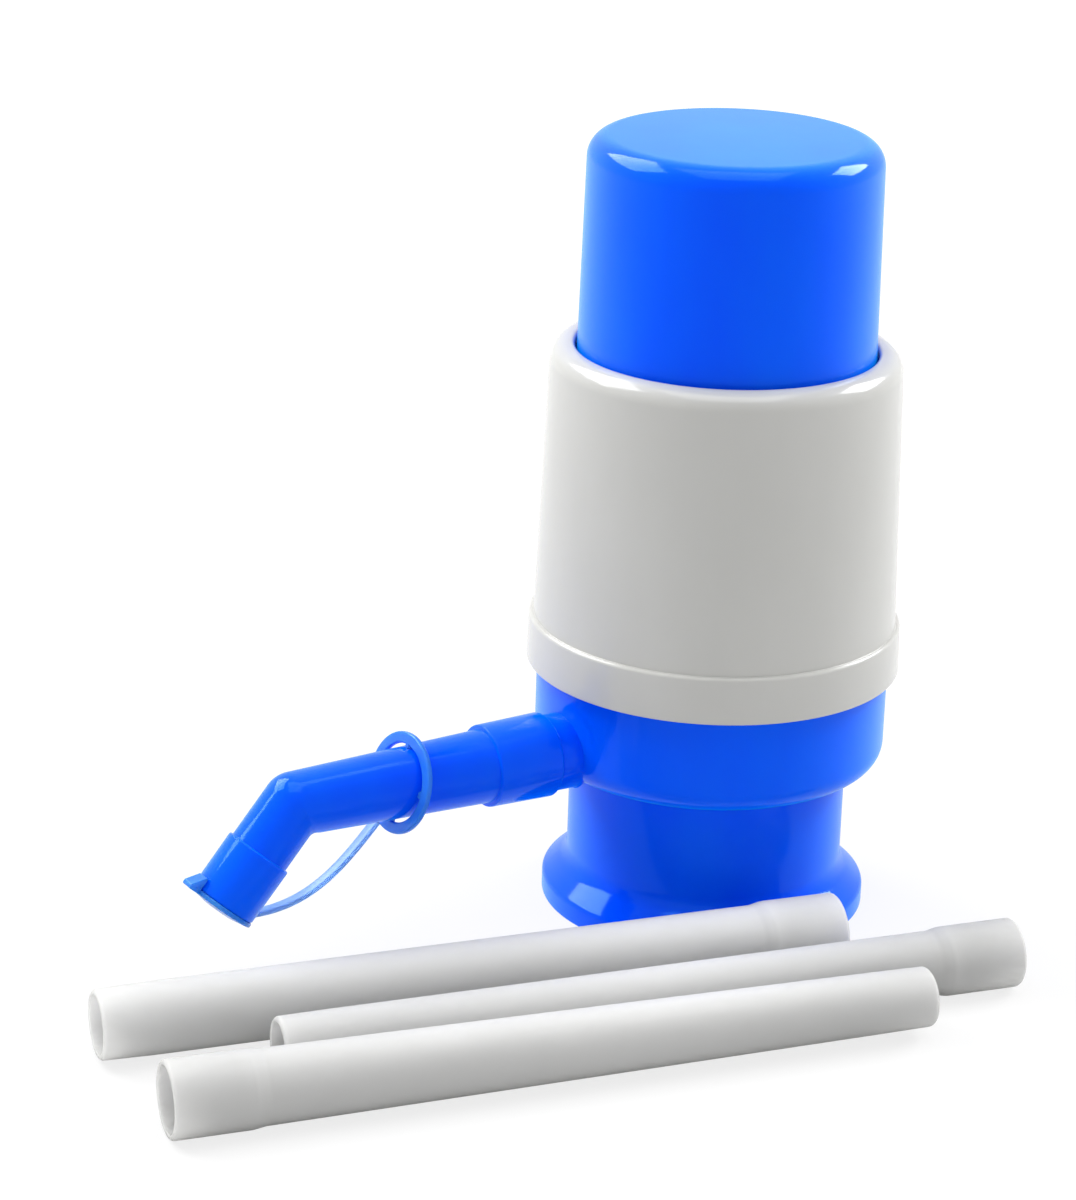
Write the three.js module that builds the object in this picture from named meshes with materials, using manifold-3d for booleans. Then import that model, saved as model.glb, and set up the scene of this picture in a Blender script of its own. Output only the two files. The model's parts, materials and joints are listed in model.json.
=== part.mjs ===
// Hand pump for a large water bottle, standing on its lock collar, with three loose suction tubes beside it.
// Millimetres, +Z up. The tubes lie along X. The origin is on the floor, under the middle of the whole set.
import * as THREE from "three";
import { mergeVertices } from "three/addons/utils/BufferGeometryUtils.js";
import Module from "manifold-3d";

const wasm = await Module();
wasm.setup();

// Sides of round shapes, by size
const wideSides = 36;
const midSides = 24;
const slimSides = 16;
const holeSides = 12;
const wireSides = 6;
const arcSteps = 4;
const cornerSteps = 2;

// Gap between pieces that rest on each other, and how far a cut runs past a face
const seatGap = 0.3;
const overrun = 2;

// Bottle neck that the pump is made for
const neckDiameter = 55;
const neckPlay = 0.3;

// Neck sleeve, whose fingers grip the bottle neck
const sleeveWall = 1.4;
const sleeveFootHeight = 2.5;
const sleeveFlangeReach = 2.4;
const sleeveFlangeThickness = 1.8;
const fingerCount = 12;
const slotWidth = 1.6;
const slotStop = 8;
const gripBeadDepth = 0.6;
const gripBeadHeight = 8;
const gripBeadHalfWidth = 1.5;
const sleeveBore = neckDiameter / 2 + neckPlay;
const sleeveRadius = sleeveBore + sleeveWall;

// Lock collar with its flared foot
const collarHeight = 34;
const collarWall = 1.9;
const footReach = 5.8;
const footRimHeight = 5;
const footFilletHeight = 8;
const collarBore = sleeveRadius + seatGap;
const collarRadius = collarBore + collarWall;
const footRadius = collarRadius + footReach;

// Base cup
const cupRadius = 39.4;
const cupWall = 2;
const cupCorner = 6;
const collarPlay = 0.5;
const collarTuck = 0.2;
const recessDepth = 2.7;
const floorThickness = 2.2;
const ledgeReach = 2;
const ledgeHeight = 2;
const ledgeRise = 14;
const cupRimRise = 13.9;
const cupBottom = collarHeight - collarTuck;
const floorUnder = cupBottom + recessDepth;
const floorTop = floorUnder + floorThickness;
const cupBore = cupRadius - cupWall;
const ledgeTop = floorTop + ledgeRise;
const cupRim = ledgeTop + cupRimRise;

// Water way through the base: tube socket, passage and outlet stub
const spoutHeight = 41.8;
const passageBore = 4;
const passageWall = 1.6;
const tubeSocketWall = 1.5;
const tubeSocketPlay = 0.05;
const tubeSocketLength = 18.5;
const riserBore = 4.6;
const stubShoulderRadius = 7.8;
const stubShoulderReach = 42.2;
const stubRadius = 6.7;
const stubReach = 56;
const stubSealSet = 4;
const airHoleRadius = 1.6;
const airHoleSet = 11.6;

// Ring seal on the stub, in its groove
const stubSealWire = 0.6;
const stubSealGrooveDepth = 1.4;
const stubSealGrooveWidth = 1.9;

// Valve plate that closes the cup, with the ring seal in its rim
const plateThickness = 3;
const plateSealWire = 0.85;
const plateGrooveDepth = 1.9;
const plateGrooveWidth = 2.2;
const springRingWall = 1.2;
const springRingHeight = 2;
const plateRadius = cupBore - seatGap;
const plateUnder = ledgeTop + seatGap;
const plateTop = plateUnder + plateThickness;

// Umbrella valves, one under the plate and one under the bellows' crown
const valveHeadRadius = 6.5;
const valveHeadThickness = 1.8;
const valveLipThickness = 0.7;
const valveStemRadius = 1.3;
const valveBulbRadius = 2.1;
const valveBulbHeight = 1.8;
const valveLift = 1;
const ventCount = 6;
const ventRadius = 1.2;
const ventCircle = 4.3;

// Housing with its band
const cupShown = 23.7;
const bandRadius = 42.1;
const bandDraft = 0.3;
const bandHeight = 10.7;
const bandCorner = 1.2;
const bandPlay = 0.4;
const shellFootRadius = 40.8;
const shellRimRadius = 39.05;
const shellHeight = 62.7;
const shellWall = 2.2;
const rimCorner = 4;
const mouthCorner = 1;
const lipThickness = 2.5;
const bandFoot = cupBottom + cupShown;
const bandTop = bandFoot + bandHeight;
const rimTop = bandTop + shellHeight;

// Press cap
const pressStroke = 40;
const capProud = 6.6;
const capTopRadius = 31.75;
const capRimRadius = 33;
const capWall = 1.8;
const capTopThickness = 2.2;
const capCorner = 6;
const capPlay = 1;
const stopReach = 3.3;
const stopThickness = 2.5;
const crownRingDepth = 4;
const crownRingWall = 1.3;
const skirtSpare = 1.7;
const capTop = rimTop + pressStroke + capProud;
const capCeiling = capTop - capTopThickness;
const mouthRadius = capRimRadius + capPlay;

// Bellows, its holding ring and the spring inside it
const bellowsRadius = 28.5;
const pleatDepth = 4.1;
const pleatCount = 8;
const bellowsWall = 0.9;
const bellowsFootRadius = 33;
const bellowsFootThickness = 1.2;
const neckRise = 1;
const crownRadius = 21.9;
const crownThickness = 1.6;
const crownDishRadius = 12;
const crownDishDepth = 5;
const holdRingBore = 30;
const holdRingThickness = 2.5;
const springRadius = 17;
const springWire = 0.8;
const springTurns = 8;
const springSteps = 12;
const bellowsFoot = plateTop + seatGap;
const crownTop = capCeiling - seatGap;
const holdRingUnder = bellowsFoot + bellowsFootThickness + seatGap;
const holdRingTop = holdRingUnder + holdRingThickness;
const skirtFoot = holdRingTop + skirtSpare + pressStroke;

// Spout: a bell over the stub, a tapered tube, a bend and the nozzle
const spoutTurn = 11.1;
const bellLength = 18.1;
const bellRootRadius = 8.8;
const bellTipRadius = 8.35;
const bellPlay = 0.25;
const bellCorner = 0.5;
const tubeStep = 0.3;
const tubeBendRadius = 6.7;
const bendReach = 105.9;
const spoutWall = 1.7;
const nozzleTurn = 49.7;
const nozzleLength = 26;
const nozzleRadius = 6.5;
const nozzleSleeveRadius = 7.2;
const nozzleSleeveLength = 13.5;
const nozzleBore = 4.8;
const nozzleCorner = 0.5;
const bellStart = stubShoulderReach + seatGap;
const bellTip = bellStart + bellLength;
const bellBore = stubRadius + bellPlay;
const bellDepth = stubReach - bellStart + seatGap;

// Ring, strap and lid that close the nozzle
const strapRingReach = 79.6;
const strapRingRadius = 12;
const strapRingBand = 2.4;
const strapRingThickness = 1.3;
const strapRingTilt = 4;
const nubCount = 4;
const nubWidth = 1.6;
const nubGap = 0.4;
const strapWidth = 2.6;
const strapThickness = 1.2;
const strapRootTurn = 26;
const strapLidTurn = 25;
const strapSteps = 16;
const strapStartTurn = -31.3;
const strapEndTurn = 8.4;
const strapPullShares = [0.323, 0.474];
const lidRadius = 7.4;
const lidThickness = 1.2;
const plugWall = 1;
const plugLength = 5;
const tabReach = 3.5;
const tabWidth = 5;

// Suction tubes, from the spigot end to the socket end
const tubeLength = 167.4;
const tubeWall = 1.4;
const tubeRound = 1.2;
const tubeSocketEnd = 17;
const tubeSocketInset = 15;
const tubeStepLength = 1;
const tipLength = 12;
const tubeFlangeGap = 0.3;
const upperTube = { tip: 7.45, spigot: 7.7, body: 7.75, socket: 8.3, bore: 7.15, start: -154.1 };
const middleTube = { tip: 6.9, spigot: 7, body: 7.05, socket: 7.6, bore: 6.75, start: -120.7 };
const lowerTube = { tip: 6.45, spigot: 6.6, body: 7.85, socket: 8.25, bore: 7, start: -148.6 };
const middleTubeSpacing = 20.1;
const lowerTubeSpacing = 16.1;

// Turns named angles in degrees into radians
const radians = THREE.MathUtils.degToRad;

// Points of an arc about a centre, from one angle to another in degrees
function arc(centreR, centreZ, radius, from, to, steps = arcSteps) {
  const points = [];
  for (let i = 0; i <= steps; i++) {
    const turn = radians(from + ((to - from) * i) / steps);
    points.push([centreR + radius * Math.cos(turn), centreZ + radius * Math.sin(turn)]);
  }
  return points;
}

// Closed solid of revolution about Z from an outline of [radius, height] points
function revolve(outline, sides) {
  const ends = outline.length - 1;
  const area = outline.reduce((sum, [r, z], i) => {
    const [nextR, nextZ] = outline[i < ends ? i + 1 : 0];
    return sum + r * nextZ - nextR * z;
  }, 0);
  const ordered = area > 0 ? outline : [...outline].reverse();
  const onAxis = ordered.some(([r]) => r === 0);
  let loop = [...ordered, ordered[0]];
  if (onAxis) {
    const first = ordered.findIndex(([r], i) => r === 0 && ordered[(i + ends) % (ends + 1)][0] === 0);
    loop = [...ordered.slice(first), ...ordered.slice(0, first)];
  }
  const points = loop.map(([r, z]) => new THREE.Vector2(r, z));
  return new THREE.LatheGeometry(points, sides).rotateX(Math.PI / 2);
}

// A shape made about Z, turned to lie along X
function alongX(geometry) {
  return geometry.rotateY(Math.PI / 2);
}

function cylinder(radius, from, to, sides) {
  return revolve([[0, from], [radius, from], [radius, to], [0, to]], sides);
}

function boxAt(sizeX, sizeY, sizeZ, x, y, z) {
  return new THREE.BoxGeometry(sizeX, sizeY, sizeZ).translate(x, y, z);
}

// Turns a closed geometry into a solid for cutting and joining
function solid(geometry) {
  const bare = geometry.clone();
  bare.deleteAttribute("normal");
  bare.deleteAttribute("uv");
  const merged = mergeVertices(bare);
  return new wasm.Manifold(
    new wasm.Mesh({
      numProp: 3,
      vertProperties: new Float32Array(merged.attributes.position.array),
      triVerts: new Uint32Array(merged.index.array),
    }),
  );
}

function geometryOf(body) {
  const mesh = body.getMesh();
  const geometry = new THREE.BufferGeometry();
  geometry.setAttribute("position", new THREE.BufferAttribute(mesh.vertProperties, 3));
  geometry.setIndex(new THREE.BufferAttribute(mesh.triVerts, 1));
  const faceted = geometry.toNonIndexed();
  faceted.computeVertexNormals();
  return faceted;
}

// Joins some geometries and cuts others out of the result
function shaped(joined, cuts = []) {
  let body = joined.map(solid).reduce((a, b) => a.add(b));
  for (const cut of cuts) body = body.subtract(solid(cut));
  return geometryOf(body);
}

// Materials by finish
const gloss = (color, roughness) => new THREE.MeshStandardMaterial({ color, roughness, metalness: 0 });
const bluePlastic = gloss(0x0050e6, 0.22);
const paleBluePlastic = gloss(0x6ea8f0, 0.35);
const whitePlastic = gloss(0xdcdcd8, 0.3);
const tubePlastic = gloss(0xe2e2df, 0.55);
const rubber = gloss(0x2c2d30, 0.8);
const bellowsPlastic = gloss(0xe8e6dc, 0.5);
const springSteel = new THREE.MeshStandardMaterial({ color: 0xb9bcc0, roughness: 0.3, metalness: 1 });

function piece(name, geometry, material) {
  const mesh = new THREE.Mesh(geometry, material);
  mesh.name = name;
  return mesh;
}

// Lock collar: a thin ring over the fingers, flared into a rolled foot with a hollow fillet above it
function makeLockCollar() {
  const rim = footRimHeight / 2;
  const filletTop = footRimHeight + footFilletHeight;
  const filletReach = footReach - rim;
  const fillet = [];
  for (let i = 0; i <= arcSteps; i++) {
    const turn = ((Math.PI / 2) * i) / arcSteps;
    fillet.push([
      collarRadius + filletReach * (1 - Math.sin(turn)),
      filletTop - footFilletHeight * Math.cos(turn),
    ]);
  }
  const outline = [
    [collarBore, 0],
    ...arc(footRadius - rim, rim, rim, -90, 90),
    ...fillet.slice(1),
    [collarRadius, collarHeight - seatGap],
    [collarRadius - seatGap, collarHeight],
    [collarBore, collarHeight],
  ];
  return piece("lock_collar", revolve(outline, wideSides), bluePlastic);
}

// Neck sleeve: a flanged ring whose lower part is slotted into fingers with a grip bead inside
function makeNeckSleeve() {
  const flangeTop = floorUnder - seatGap;
  const flangeUnder = flangeTop - sleeveFlangeThickness;
  const outline = [
    [sleeveRadius, sleeveFootHeight],
    [sleeveRadius, flangeUnder],
    [sleeveRadius + sleeveFlangeReach, flangeUnder],
    [sleeveRadius + sleeveFlangeReach, flangeTop],
    [sleeveBore, flangeTop],
    [sleeveBore, gripBeadHeight + gripBeadHalfWidth],
    [sleeveBore - gripBeadDepth, gripBeadHeight],
    [sleeveBore, gripBeadHeight - gripBeadHalfWidth],
    [sleeveBore, sleeveFootHeight],
  ];
  const slotTop = flangeUnder - slotStop;
  const slots = [];
  for (let i = 0; i < fingerCount / 2; i++) {
    const slot = boxAt(2 * sleeveRadius + overrun, slotWidth, slotTop, 0, 0, slotTop / 2);
    slots.push(slot.rotateZ((2 * Math.PI * i) / fingerCount));
  }
  return piece("neck_sleeve", shaped([revolve(outline, wideSides)], slots), paleBluePlastic);
}

// Flat washer under the cup's floor, which seals on the bottle's lip
const gasketThickness = 2.2;
const gasketPlay = 0.4;
const gasketBore = 14.5;

function makeNeckGasket() {
  const top = floorUnder - seatGap;
  const under = top - gasketThickness;
  const reach = sleeveBore - gasketPlay;
  const outline = [[gasketBore, under], [reach, under], [reach, top], [gasketBore, top]];
  return piece("neck_gasket", revolve(outline, wideSides), rubber);
}

// The frame of the spout: X runs outwards along its axis, Z stays up
const spoutFrame = new THREE.Matrix4()
  .makeTranslation(0, 0, spoutHeight)
  .multiply(new THREE.Matrix4().makeRotationZ(Math.PI + radians(spoutTurn)));

// Base cup with floor, ledge, tube socket, water passage and outlet stub
function makeBaseBody() {
  const recessRadius = collarRadius + collarPlay;
  const ledgeBore = cupBore - ledgeReach;
  const ledgeUnder = ledgeTop - ledgeHeight;
  const shell = revolve(
    [
      [0, floorUnder],
      [recessRadius, floorUnder],
      [recessRadius, cupBottom],
      ...arc(cupRadius - cupCorner, cupBottom + cupCorner, cupCorner, -90, 0),
      [cupRadius, cupRim],
      [cupBore, cupRim],
      [cupBore, ledgeTop],
      [ledgeBore, ledgeTop],
      [ledgeBore, ledgeUnder],
      [cupBore, ledgeUnder - ledgeReach],
      [cupBore, floorTop + cupWall],
      [cupBore - cupWall, floorTop],
      [0, floorTop],
    ],
    wideSides,
  );
  const passageRadius = passageBore + passageWall;
  const socketBore = upperTube.spigot + tubeSocketPlay;
  const socketRadius = socketBore + tubeSocketWall;
  const socketFoot = floorUnder - tubeSocketLength;
  const socket = cylinder(socketRadius, socketFoot, floorTop, midSides);
  const riserRadius = riserBore + passageWall;
  const riser = cylinder(riserRadius, floorTop - passageWall, spoutHeight + passageRadius, slimSides);
  const passage = alongX(cylinder(passageRadius, 0, cupRadius - cupWall / 2, slimSides));
  const grooveEnd = stubReach - stubSealSet;
  const grooveStart = grooveEnd - stubSealGrooveWidth;
  const stub = alongX(
    revolve(
      [
        [0, cupRadius - cupCorner + cupWall],
        [stubShoulderRadius, cupRadius - cupCorner + cupWall],
        [stubShoulderRadius, stubShoulderReach],
        [stubRadius, stubShoulderReach],
        [stubRadius, grooveStart],
        [stubRadius - stubSealGrooveDepth, grooveStart],
        [stubRadius - stubSealGrooveDepth, grooveEnd],
        [stubRadius, grooveEnd],
        [stubRadius, stubReach - bellCorner],
        [stubRadius - bellCorner, stubReach],
        [0, stubReach],
      ],
      midSides,
    ),
  );
  const waterWay = alongX(cylinder(passageBore, 0, stubReach + overrun, slimSides));
  const airHole = cylinder(airHoleRadius, floorUnder - overrun, floorTop + overrun, holeSides);
  airHole.translate(-airHoleSet, 0, -spoutHeight);
  const hollow = cylinder(socketBore, socketFoot - overrun, floorUnder, midSides);
  const riserHole = cylinder(riserBore, floorUnder - overrun, spoutHeight, slimSides);
  passage.applyMatrix4(spoutFrame);
  stub.applyMatrix4(spoutFrame);
  waterWay.applyMatrix4(spoutFrame);
  airHole.applyMatrix4(spoutFrame);
  const geometry = shaped([shell, socket, riser, passage, stub], [waterWay, hollow, riserHole, airHole]);
  return piece("base_body", geometry, bluePlastic);
}

// Ring seal in the stub's groove, in the spout's frame
function makeSpoutSeal() {
  const grooveMiddle = stubReach - stubSealSet - stubSealGrooveWidth / 2;
  const middleRadius = (stubRadius - stubSealGrooveDepth + bellBore) / 2;
  const ring = new THREE.TorusGeometry(middleRadius, stubSealWire, wireSides, midSides);
  return piece("spout_seal", alongX(ring).translate(grooveMiddle, 0, 0), rubber);
}

// Small round holes on a circle, for the valves' vents, and the hole for the valve's stem
function valveHoles(under, thickness) {
  const from = under - overrun;
  const to = under + thickness + overrun;
  const holes = [cylinder(valveStemRadius + seatGap, from, to, holeSides)];
  for (let i = 0; i < ventCount; i++) {
    const turn = (2 * Math.PI * i) / ventCount;
    const hole = cylinder(ventRadius, from, to, holeSides);
    holes.push(hole.translate(ventCircle * Math.cos(turn), ventCircle * Math.sin(turn), 0));
  }
  return holes;
}

// Umbrella valve under a wall: a thin domed head, a stem through the wall and a bulb above it
function makeValve(name, wallUnder, wallThickness) {
  const headTop = wallUnder - seatGap;
  const headFoot = headTop - valveHeadThickness;
  const bulbFoot = wallUnder + wallThickness + valveLift + seatGap;
  const outline = [
    [0, headFoot],
    [valveHeadRadius / 2, headFoot],
    [valveHeadRadius, headTop - valveLipThickness],
    [valveHeadRadius, headTop],
    [valveStemRadius, headTop],
    [valveStemRadius, bulbFoot],
    [valveBulbRadius, bulbFoot],
    [valveStemRadius, bulbFoot + valveBulbHeight],
    [0, bulbFoot + valveBulbHeight],
  ];
  return piece(name, revolve(outline, slimSides), rubber);
}

// Valve plate: a disc with a groove in its rim, a ring that centres the spring, and the vents
function makeValvePlate() {
  const middle = (plateUnder + plateTop) / 2;
  const ringRadius = springRadius * Math.cos(Math.PI / springSteps) - springWire - seatGap;
  const disc = revolve(
    [
      [0, plateUnder],
      [plateRadius, plateUnder],
      [plateRadius, middle - plateGrooveWidth / 2],
      [plateRadius - plateGrooveDepth, middle - plateGrooveWidth / 2],
      [plateRadius - plateGrooveDepth, middle + plateGrooveWidth / 2],
      [plateRadius, middle + plateGrooveWidth / 2],
      [plateRadius, plateTop],
      [ringRadius, plateTop],
      [ringRadius, plateTop + springRingHeight],
      [ringRadius - springRingWall, plateTop + springRingHeight],
      [ringRadius - springRingWall, plateTop],
      [0, plateTop],
    ],
    wideSides,
  );
  return piece("valve_plate", shaped([disc], valveHoles(plateUnder, plateThickness)), whitePlastic);
}

function makePlateSeal() {
  const ring = new THREE.TorusGeometry(plateRadius - plateSealWire, plateSealWire, wireSides, wideSides);
  return piece("plate_seal", ring.translate(0, 0, (plateUnder + plateTop) / 2), rubber);
}

// Bellows: a foot flange on the plate, pleats, and a crown whose middle is sunk for the inlet valve
function makeBellows() {
  const pleatStart = bellowsFoot + bellowsFootThickness + neckRise;
  const pleatEnd = capCeiling - crownRingDepth - seatGap;
  const pitch = (pleatEnd - pleatStart) / pleatCount;
  const valley = bellowsRadius - pleatDepth;
  const outside = [];
  for (let i = 0; i < pleatCount; i++) {
    outside.push([valley, pleatStart + i * pitch]);
    outside.push([bellowsRadius, pleatStart + (i + 1 / 2) * pitch]);
  }
  const inside = outside.map(([r, z]) => [r - bellowsWall, z]).reverse();
  const dishFloor = crownTop - crownDishDepth;
  const outline = [
    [bellowsFootRadius, bellowsFoot],
    [bellowsFootRadius, bellowsFoot + bellowsFootThickness],
    [valley, bellowsFoot + bellowsFootThickness],
    ...outside,
    [valley, pleatEnd],
    [crownRadius, pleatEnd],
    [crownRadius, crownTop],
    [crownDishRadius, crownTop],
    [crownDishRadius, dishFloor],
    [0, dishFloor],
    [0, dishFloor - crownThickness],
    [crownDishRadius + crownThickness, dishFloor - crownThickness],
    [crownDishRadius + crownThickness, crownTop - crownThickness],
    [crownRadius - bellowsWall, crownTop - crownThickness],
    [crownRadius - bellowsWall, pleatEnd - bellowsWall],
    [valley - bellowsWall, pleatEnd - bellowsWall],
    ...inside,
    [valley - bellowsWall, bellowsFoot],
  ];
  const holes = valveHoles(dishFloor - crownThickness, crownThickness);
  return piece("bellows", shaped([revolve(outline, midSides)], holes), bellowsPlastic);
}

// Ring that holds the bellows' foot down on the plate
function makeBellowsRing() {
  const reach = cupBore - seatGap;
  const outline = [
    [holdRingBore, holdRingUnder],
    [reach, holdRingUnder],
    [reach, holdRingTop],
    [holdRingBore, holdRingTop],
  ];
  return piece("bellows_ring", revolve(outline, wideSides), whitePlastic);
}

// Return spring: one wire from the plate to the crown
class Helix extends THREE.Curve {
  getPoint(share, target = new THREE.Vector3()) {
    const foot = plateTop + seatGap + springWire;
    const top = crownTop - crownThickness - seatGap - springWire;
    const turn = 2 * Math.PI * springTurns * share;
    const height = foot + (top - foot) * share;
    return target.set(springRadius * Math.cos(turn), springRadius * Math.sin(turn), height);
  }
}

function roundSection(radius, sides) {
  const section = new THREE.Shape();
  for (let i = 0; i < sides; i++) {
    const turn = (2 * Math.PI * i) / sides;
    if (i === 0) section.moveTo(radius, 0);
    else section.lineTo(radius * Math.cos(turn), radius * Math.sin(turn));
  }
  section.closePath();
  return section;
}

function makeReturnSpring() {
  const wire = new THREE.ExtrudeGeometry(roundSection(springWire, wireSides), {
    steps: springTurns * springSteps,
    extrudePath: new Helix(),
    bevelEnabled: false,
  });
  return piece("return_spring", wire, springSteel);
}

// Housing: a drafted shell with a band at its foot and a rolled rim that keeps the press cap in
function makeHousing() {
  const lipUnder = rimTop - lipThickness;
  const slope = (shellFootRadius - shellRimRadius) / shellHeight;
  const shoulder = cupRim + seatGap;
  const outline = [
    [cupRadius + bandPlay, bandFoot],
    [bandRadius, bandFoot],
    ...arc(bandRadius - bandDraft - bandCorner, bandTop - bandCorner, bandCorner, 0, 90, cornerSteps),
    [shellFootRadius, bandTop],
    ...arc(shellRimRadius - rimCorner, rimTop - rimCorner, rimCorner, 0, 90),
    ...arc(mouthRadius + mouthCorner, rimTop - mouthCorner, mouthCorner, 90, 180, cornerSteps),
    [mouthRadius, lipUnder],
    [shellRimRadius + slope * lipThickness - shellWall, lipUnder],
    [shellFootRadius - shellWall, shoulder],
    [cupRadius + bandPlay, shoulder],
  ];
  return piece("housing", revolve(outline, wideSides), whitePlastic);
}

// Press cap: a drafted cup with a stop flange under the housing's lip and a ring round the bellows' crown
function makePressCap() {
  const stopTop = rimTop - lipThickness - seatGap;
  const stopFoot = stopTop - stopThickness;
  const ringFoot = capCeiling - crownRingDepth;
  const ringBore = crownRadius + seatGap;
  const outline = [
    [capRimRadius, skirtFoot],
    [capRimRadius, stopFoot],
    [capRimRadius + stopReach, stopFoot],
    [capRimRadius + stopReach, stopTop],
    [capRimRadius, stopTop],
    [capRimRadius, rimTop],
    ...arc(capTopRadius - capCorner, capTop - capCorner, capCorner, 0, 90),
    [0, capTop],
    [0, capCeiling],
    [ringBore, capCeiling],
    [ringBore, ringFoot],
    [ringBore + crownRingWall, ringFoot],
    [ringBore + crownRingWall, capCeiling],
    ...arc(capTopRadius - capCorner, capTop - capCorner, capCorner - capWall, 90, 0).slice(1),
    [capRimRadius - capWall, rimTop],
    [capRimRadius - capWall, skirtFoot],
  ];
  return piece("press_cap", revolve(outline, wideSides), bluePlastic);
}

// Spout, in the spout's frame: bell, tapered tube, bend and nozzle with its thicker end
function makeSpout() {
  const tubeRootRadius = bellTipRadius - tubeStep;
  const bell = alongX(
    revolve(
      [
        [0, bellStart],
        [bellRootRadius - bellCorner, bellStart],
        [bellRootRadius, bellStart + bellCorner],
        [bellTipRadius, bellTip - bellCorner],
        [bellTipRadius - bellCorner, bellTip],
        [tubeRootRadius, bellTip],
        [tubeBendRadius, bendReach],
        [0, bendReach],
      ],
      midSides,
    ),
  );
  const elbow = new THREE.SphereGeometry(tubeBendRadius, slimSides, slimSides / 2);
  const sleeveStart = nozzleLength - nozzleSleeveLength;
  const nozzle = alongX(
    revolve(
      [
        [0, 0],
        [nozzleRadius, 0],
        [nozzleRadius, sleeveStart],
        [nozzleSleeveRadius, sleeveStart + nozzleCorner],
        [nozzleSleeveRadius, nozzleLength],
        [0, nozzleLength],
      ],
      midSides,
    ),
  );
  const bellHollow = alongX(cylinder(bellBore, bellStart - overrun, bellStart + bellDepth, midSides));
  const bore = alongX(
    revolve(
      [
        [0, bellStart],
        [tubeRootRadius - spoutWall, bellStart],
        [tubeRootRadius - spoutWall, bellTip],
        [nozzleBore, bendReach],
        [0, bendReach],
      ],
      slimSides,
    ),
  );
  const elbowHollow = new THREE.SphereGeometry(nozzleBore, slimSides, slimSides / 2);
  const nozzleHollow = alongX(cylinder(nozzleBore, 0, nozzleLength + overrun, slimSides));
  for (const bent of [elbow, nozzle, elbowHollow, nozzleHollow]) {
    bent.rotateY(radians(nozzleTurn)).translate(bendReach, 0, 0);
  }
  const geometry = shaped([bell, elbow, nozzle], [bellHollow, bore, elbowHollow, nozzleHollow]);
  return piece("spout", geometry, bluePlastic);
}

// Flat ring round the spout with nubs that rest on the tube, about its own X axis
function makeStrapRing() {
  const bore = strapRingRadius - strapRingBand;
  const half = strapRingThickness / 2;
  const slope = (bellTipRadius - tubeStep - tubeBendRadius) / (bendReach - bellTip);
  const tubeRadius = tubeBendRadius + slope * (bendReach - strapRingReach);
  const nubTip = tubeRadius + nubGap;
  const nubRoot = bore + strapRingBand / 2;
  const band = revolve(
    [[bore, -half], [strapRingRadius, -half], [strapRingRadius, half], [bore, half]],
    midSides,
  );
  const nubs = [];
  for (let i = 0; i < nubCount; i++) {
    const nub = boxAt(nubRoot - nubTip, nubWidth, strapRingThickness, (nubRoot + nubTip) / 2, 0, 0);
    nubs.push(nub.rotateZ((2 * Math.PI * i) / nubCount));
  }
  const mesh = piece("strap_ring", alongX(shaped([band, ...nubs])), paleBluePlastic);
  mesh.position.x = strapRingReach;
  mesh.rotation.z = radians(strapRingTilt);
  return mesh;
}

// Strap from the ring's lower back edge to the lid's edge, in the spout's frame
function makeCapStrap() {
  const rootRadius = strapRingRadius + seatGap + strapThickness / 2;
  const rootTurn = radians(strapRootTurn);
  const root = new THREE.Vector3(0, -rootRadius * Math.sin(rootTurn), -rootRadius * Math.cos(rootTurn))
    .applyAxisAngle(new THREE.Vector3(0, 0, 1), radians(strapRingTilt))
    .add(new THREE.Vector3(strapRingReach, 0, 0));
  const lidEdge = lidRadius + seatGap + strapThickness / 2;
  const lidTurn = radians(strapLidTurn);
  const end = new THREE.Vector3(
    nozzleLength + seatGap + lidThickness / 2,
    -lidEdge * Math.sin(lidTurn),
    -lidEdge * Math.cos(lidTurn),
  )
    .applyAxisAngle(new THREE.Vector3(0, 1, 0), radians(nozzleTurn))
    .add(new THREE.Vector3(bendReach, 0, 0));
  const span = Math.hypot(end.x - root.x, end.y - root.y);
  const chord = Math.hypot(span, end.z - root.z);
  const startTurn = radians(strapStartTurn);
  const endTurn = radians(strapEndTurn);
  const [startPull, endPull] = strapPullShares.map((share) => share * chord);
  const path = new THREE.CubicBezierCurve(
    new THREE.Vector2(0, 0),
    new THREE.Vector2(startPull * Math.cos(startTurn), startPull * Math.sin(startTurn)),
    new THREE.Vector2(span - endPull * Math.cos(endTurn), end.z - root.z - endPull * Math.sin(endTurn)),
    new THREE.Vector2(span, end.z - root.z),
  );
  const upper = [];
  const lower = [];
  for (let i = 0; i <= strapSteps; i++) {
    const point = path.getPoint(i / strapSteps);
    const tangent = path.getTangent(i / strapSteps);
    const across = new THREE.Vector2(-tangent.y, tangent.x).multiplyScalar(strapThickness / 2);
    upper.push(point.clone().add(across));
    lower.unshift(point.clone().sub(across));
  }
  const strip = new THREE.ExtrudeGeometry(new THREE.Shape([...upper, ...lower]), {
    depth: strapWidth,
    bevelEnabled: false,
  });
  strip.translate(0, 0, -strapWidth / 2).rotateX(Math.PI / 2);
  const mesh = piece("cap_strap", strip, paleBluePlastic);
  mesh.position.copy(root);
  mesh.rotation.z = Math.atan2(end.y - root.y, end.x - root.x);
  return mesh;
}

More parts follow.
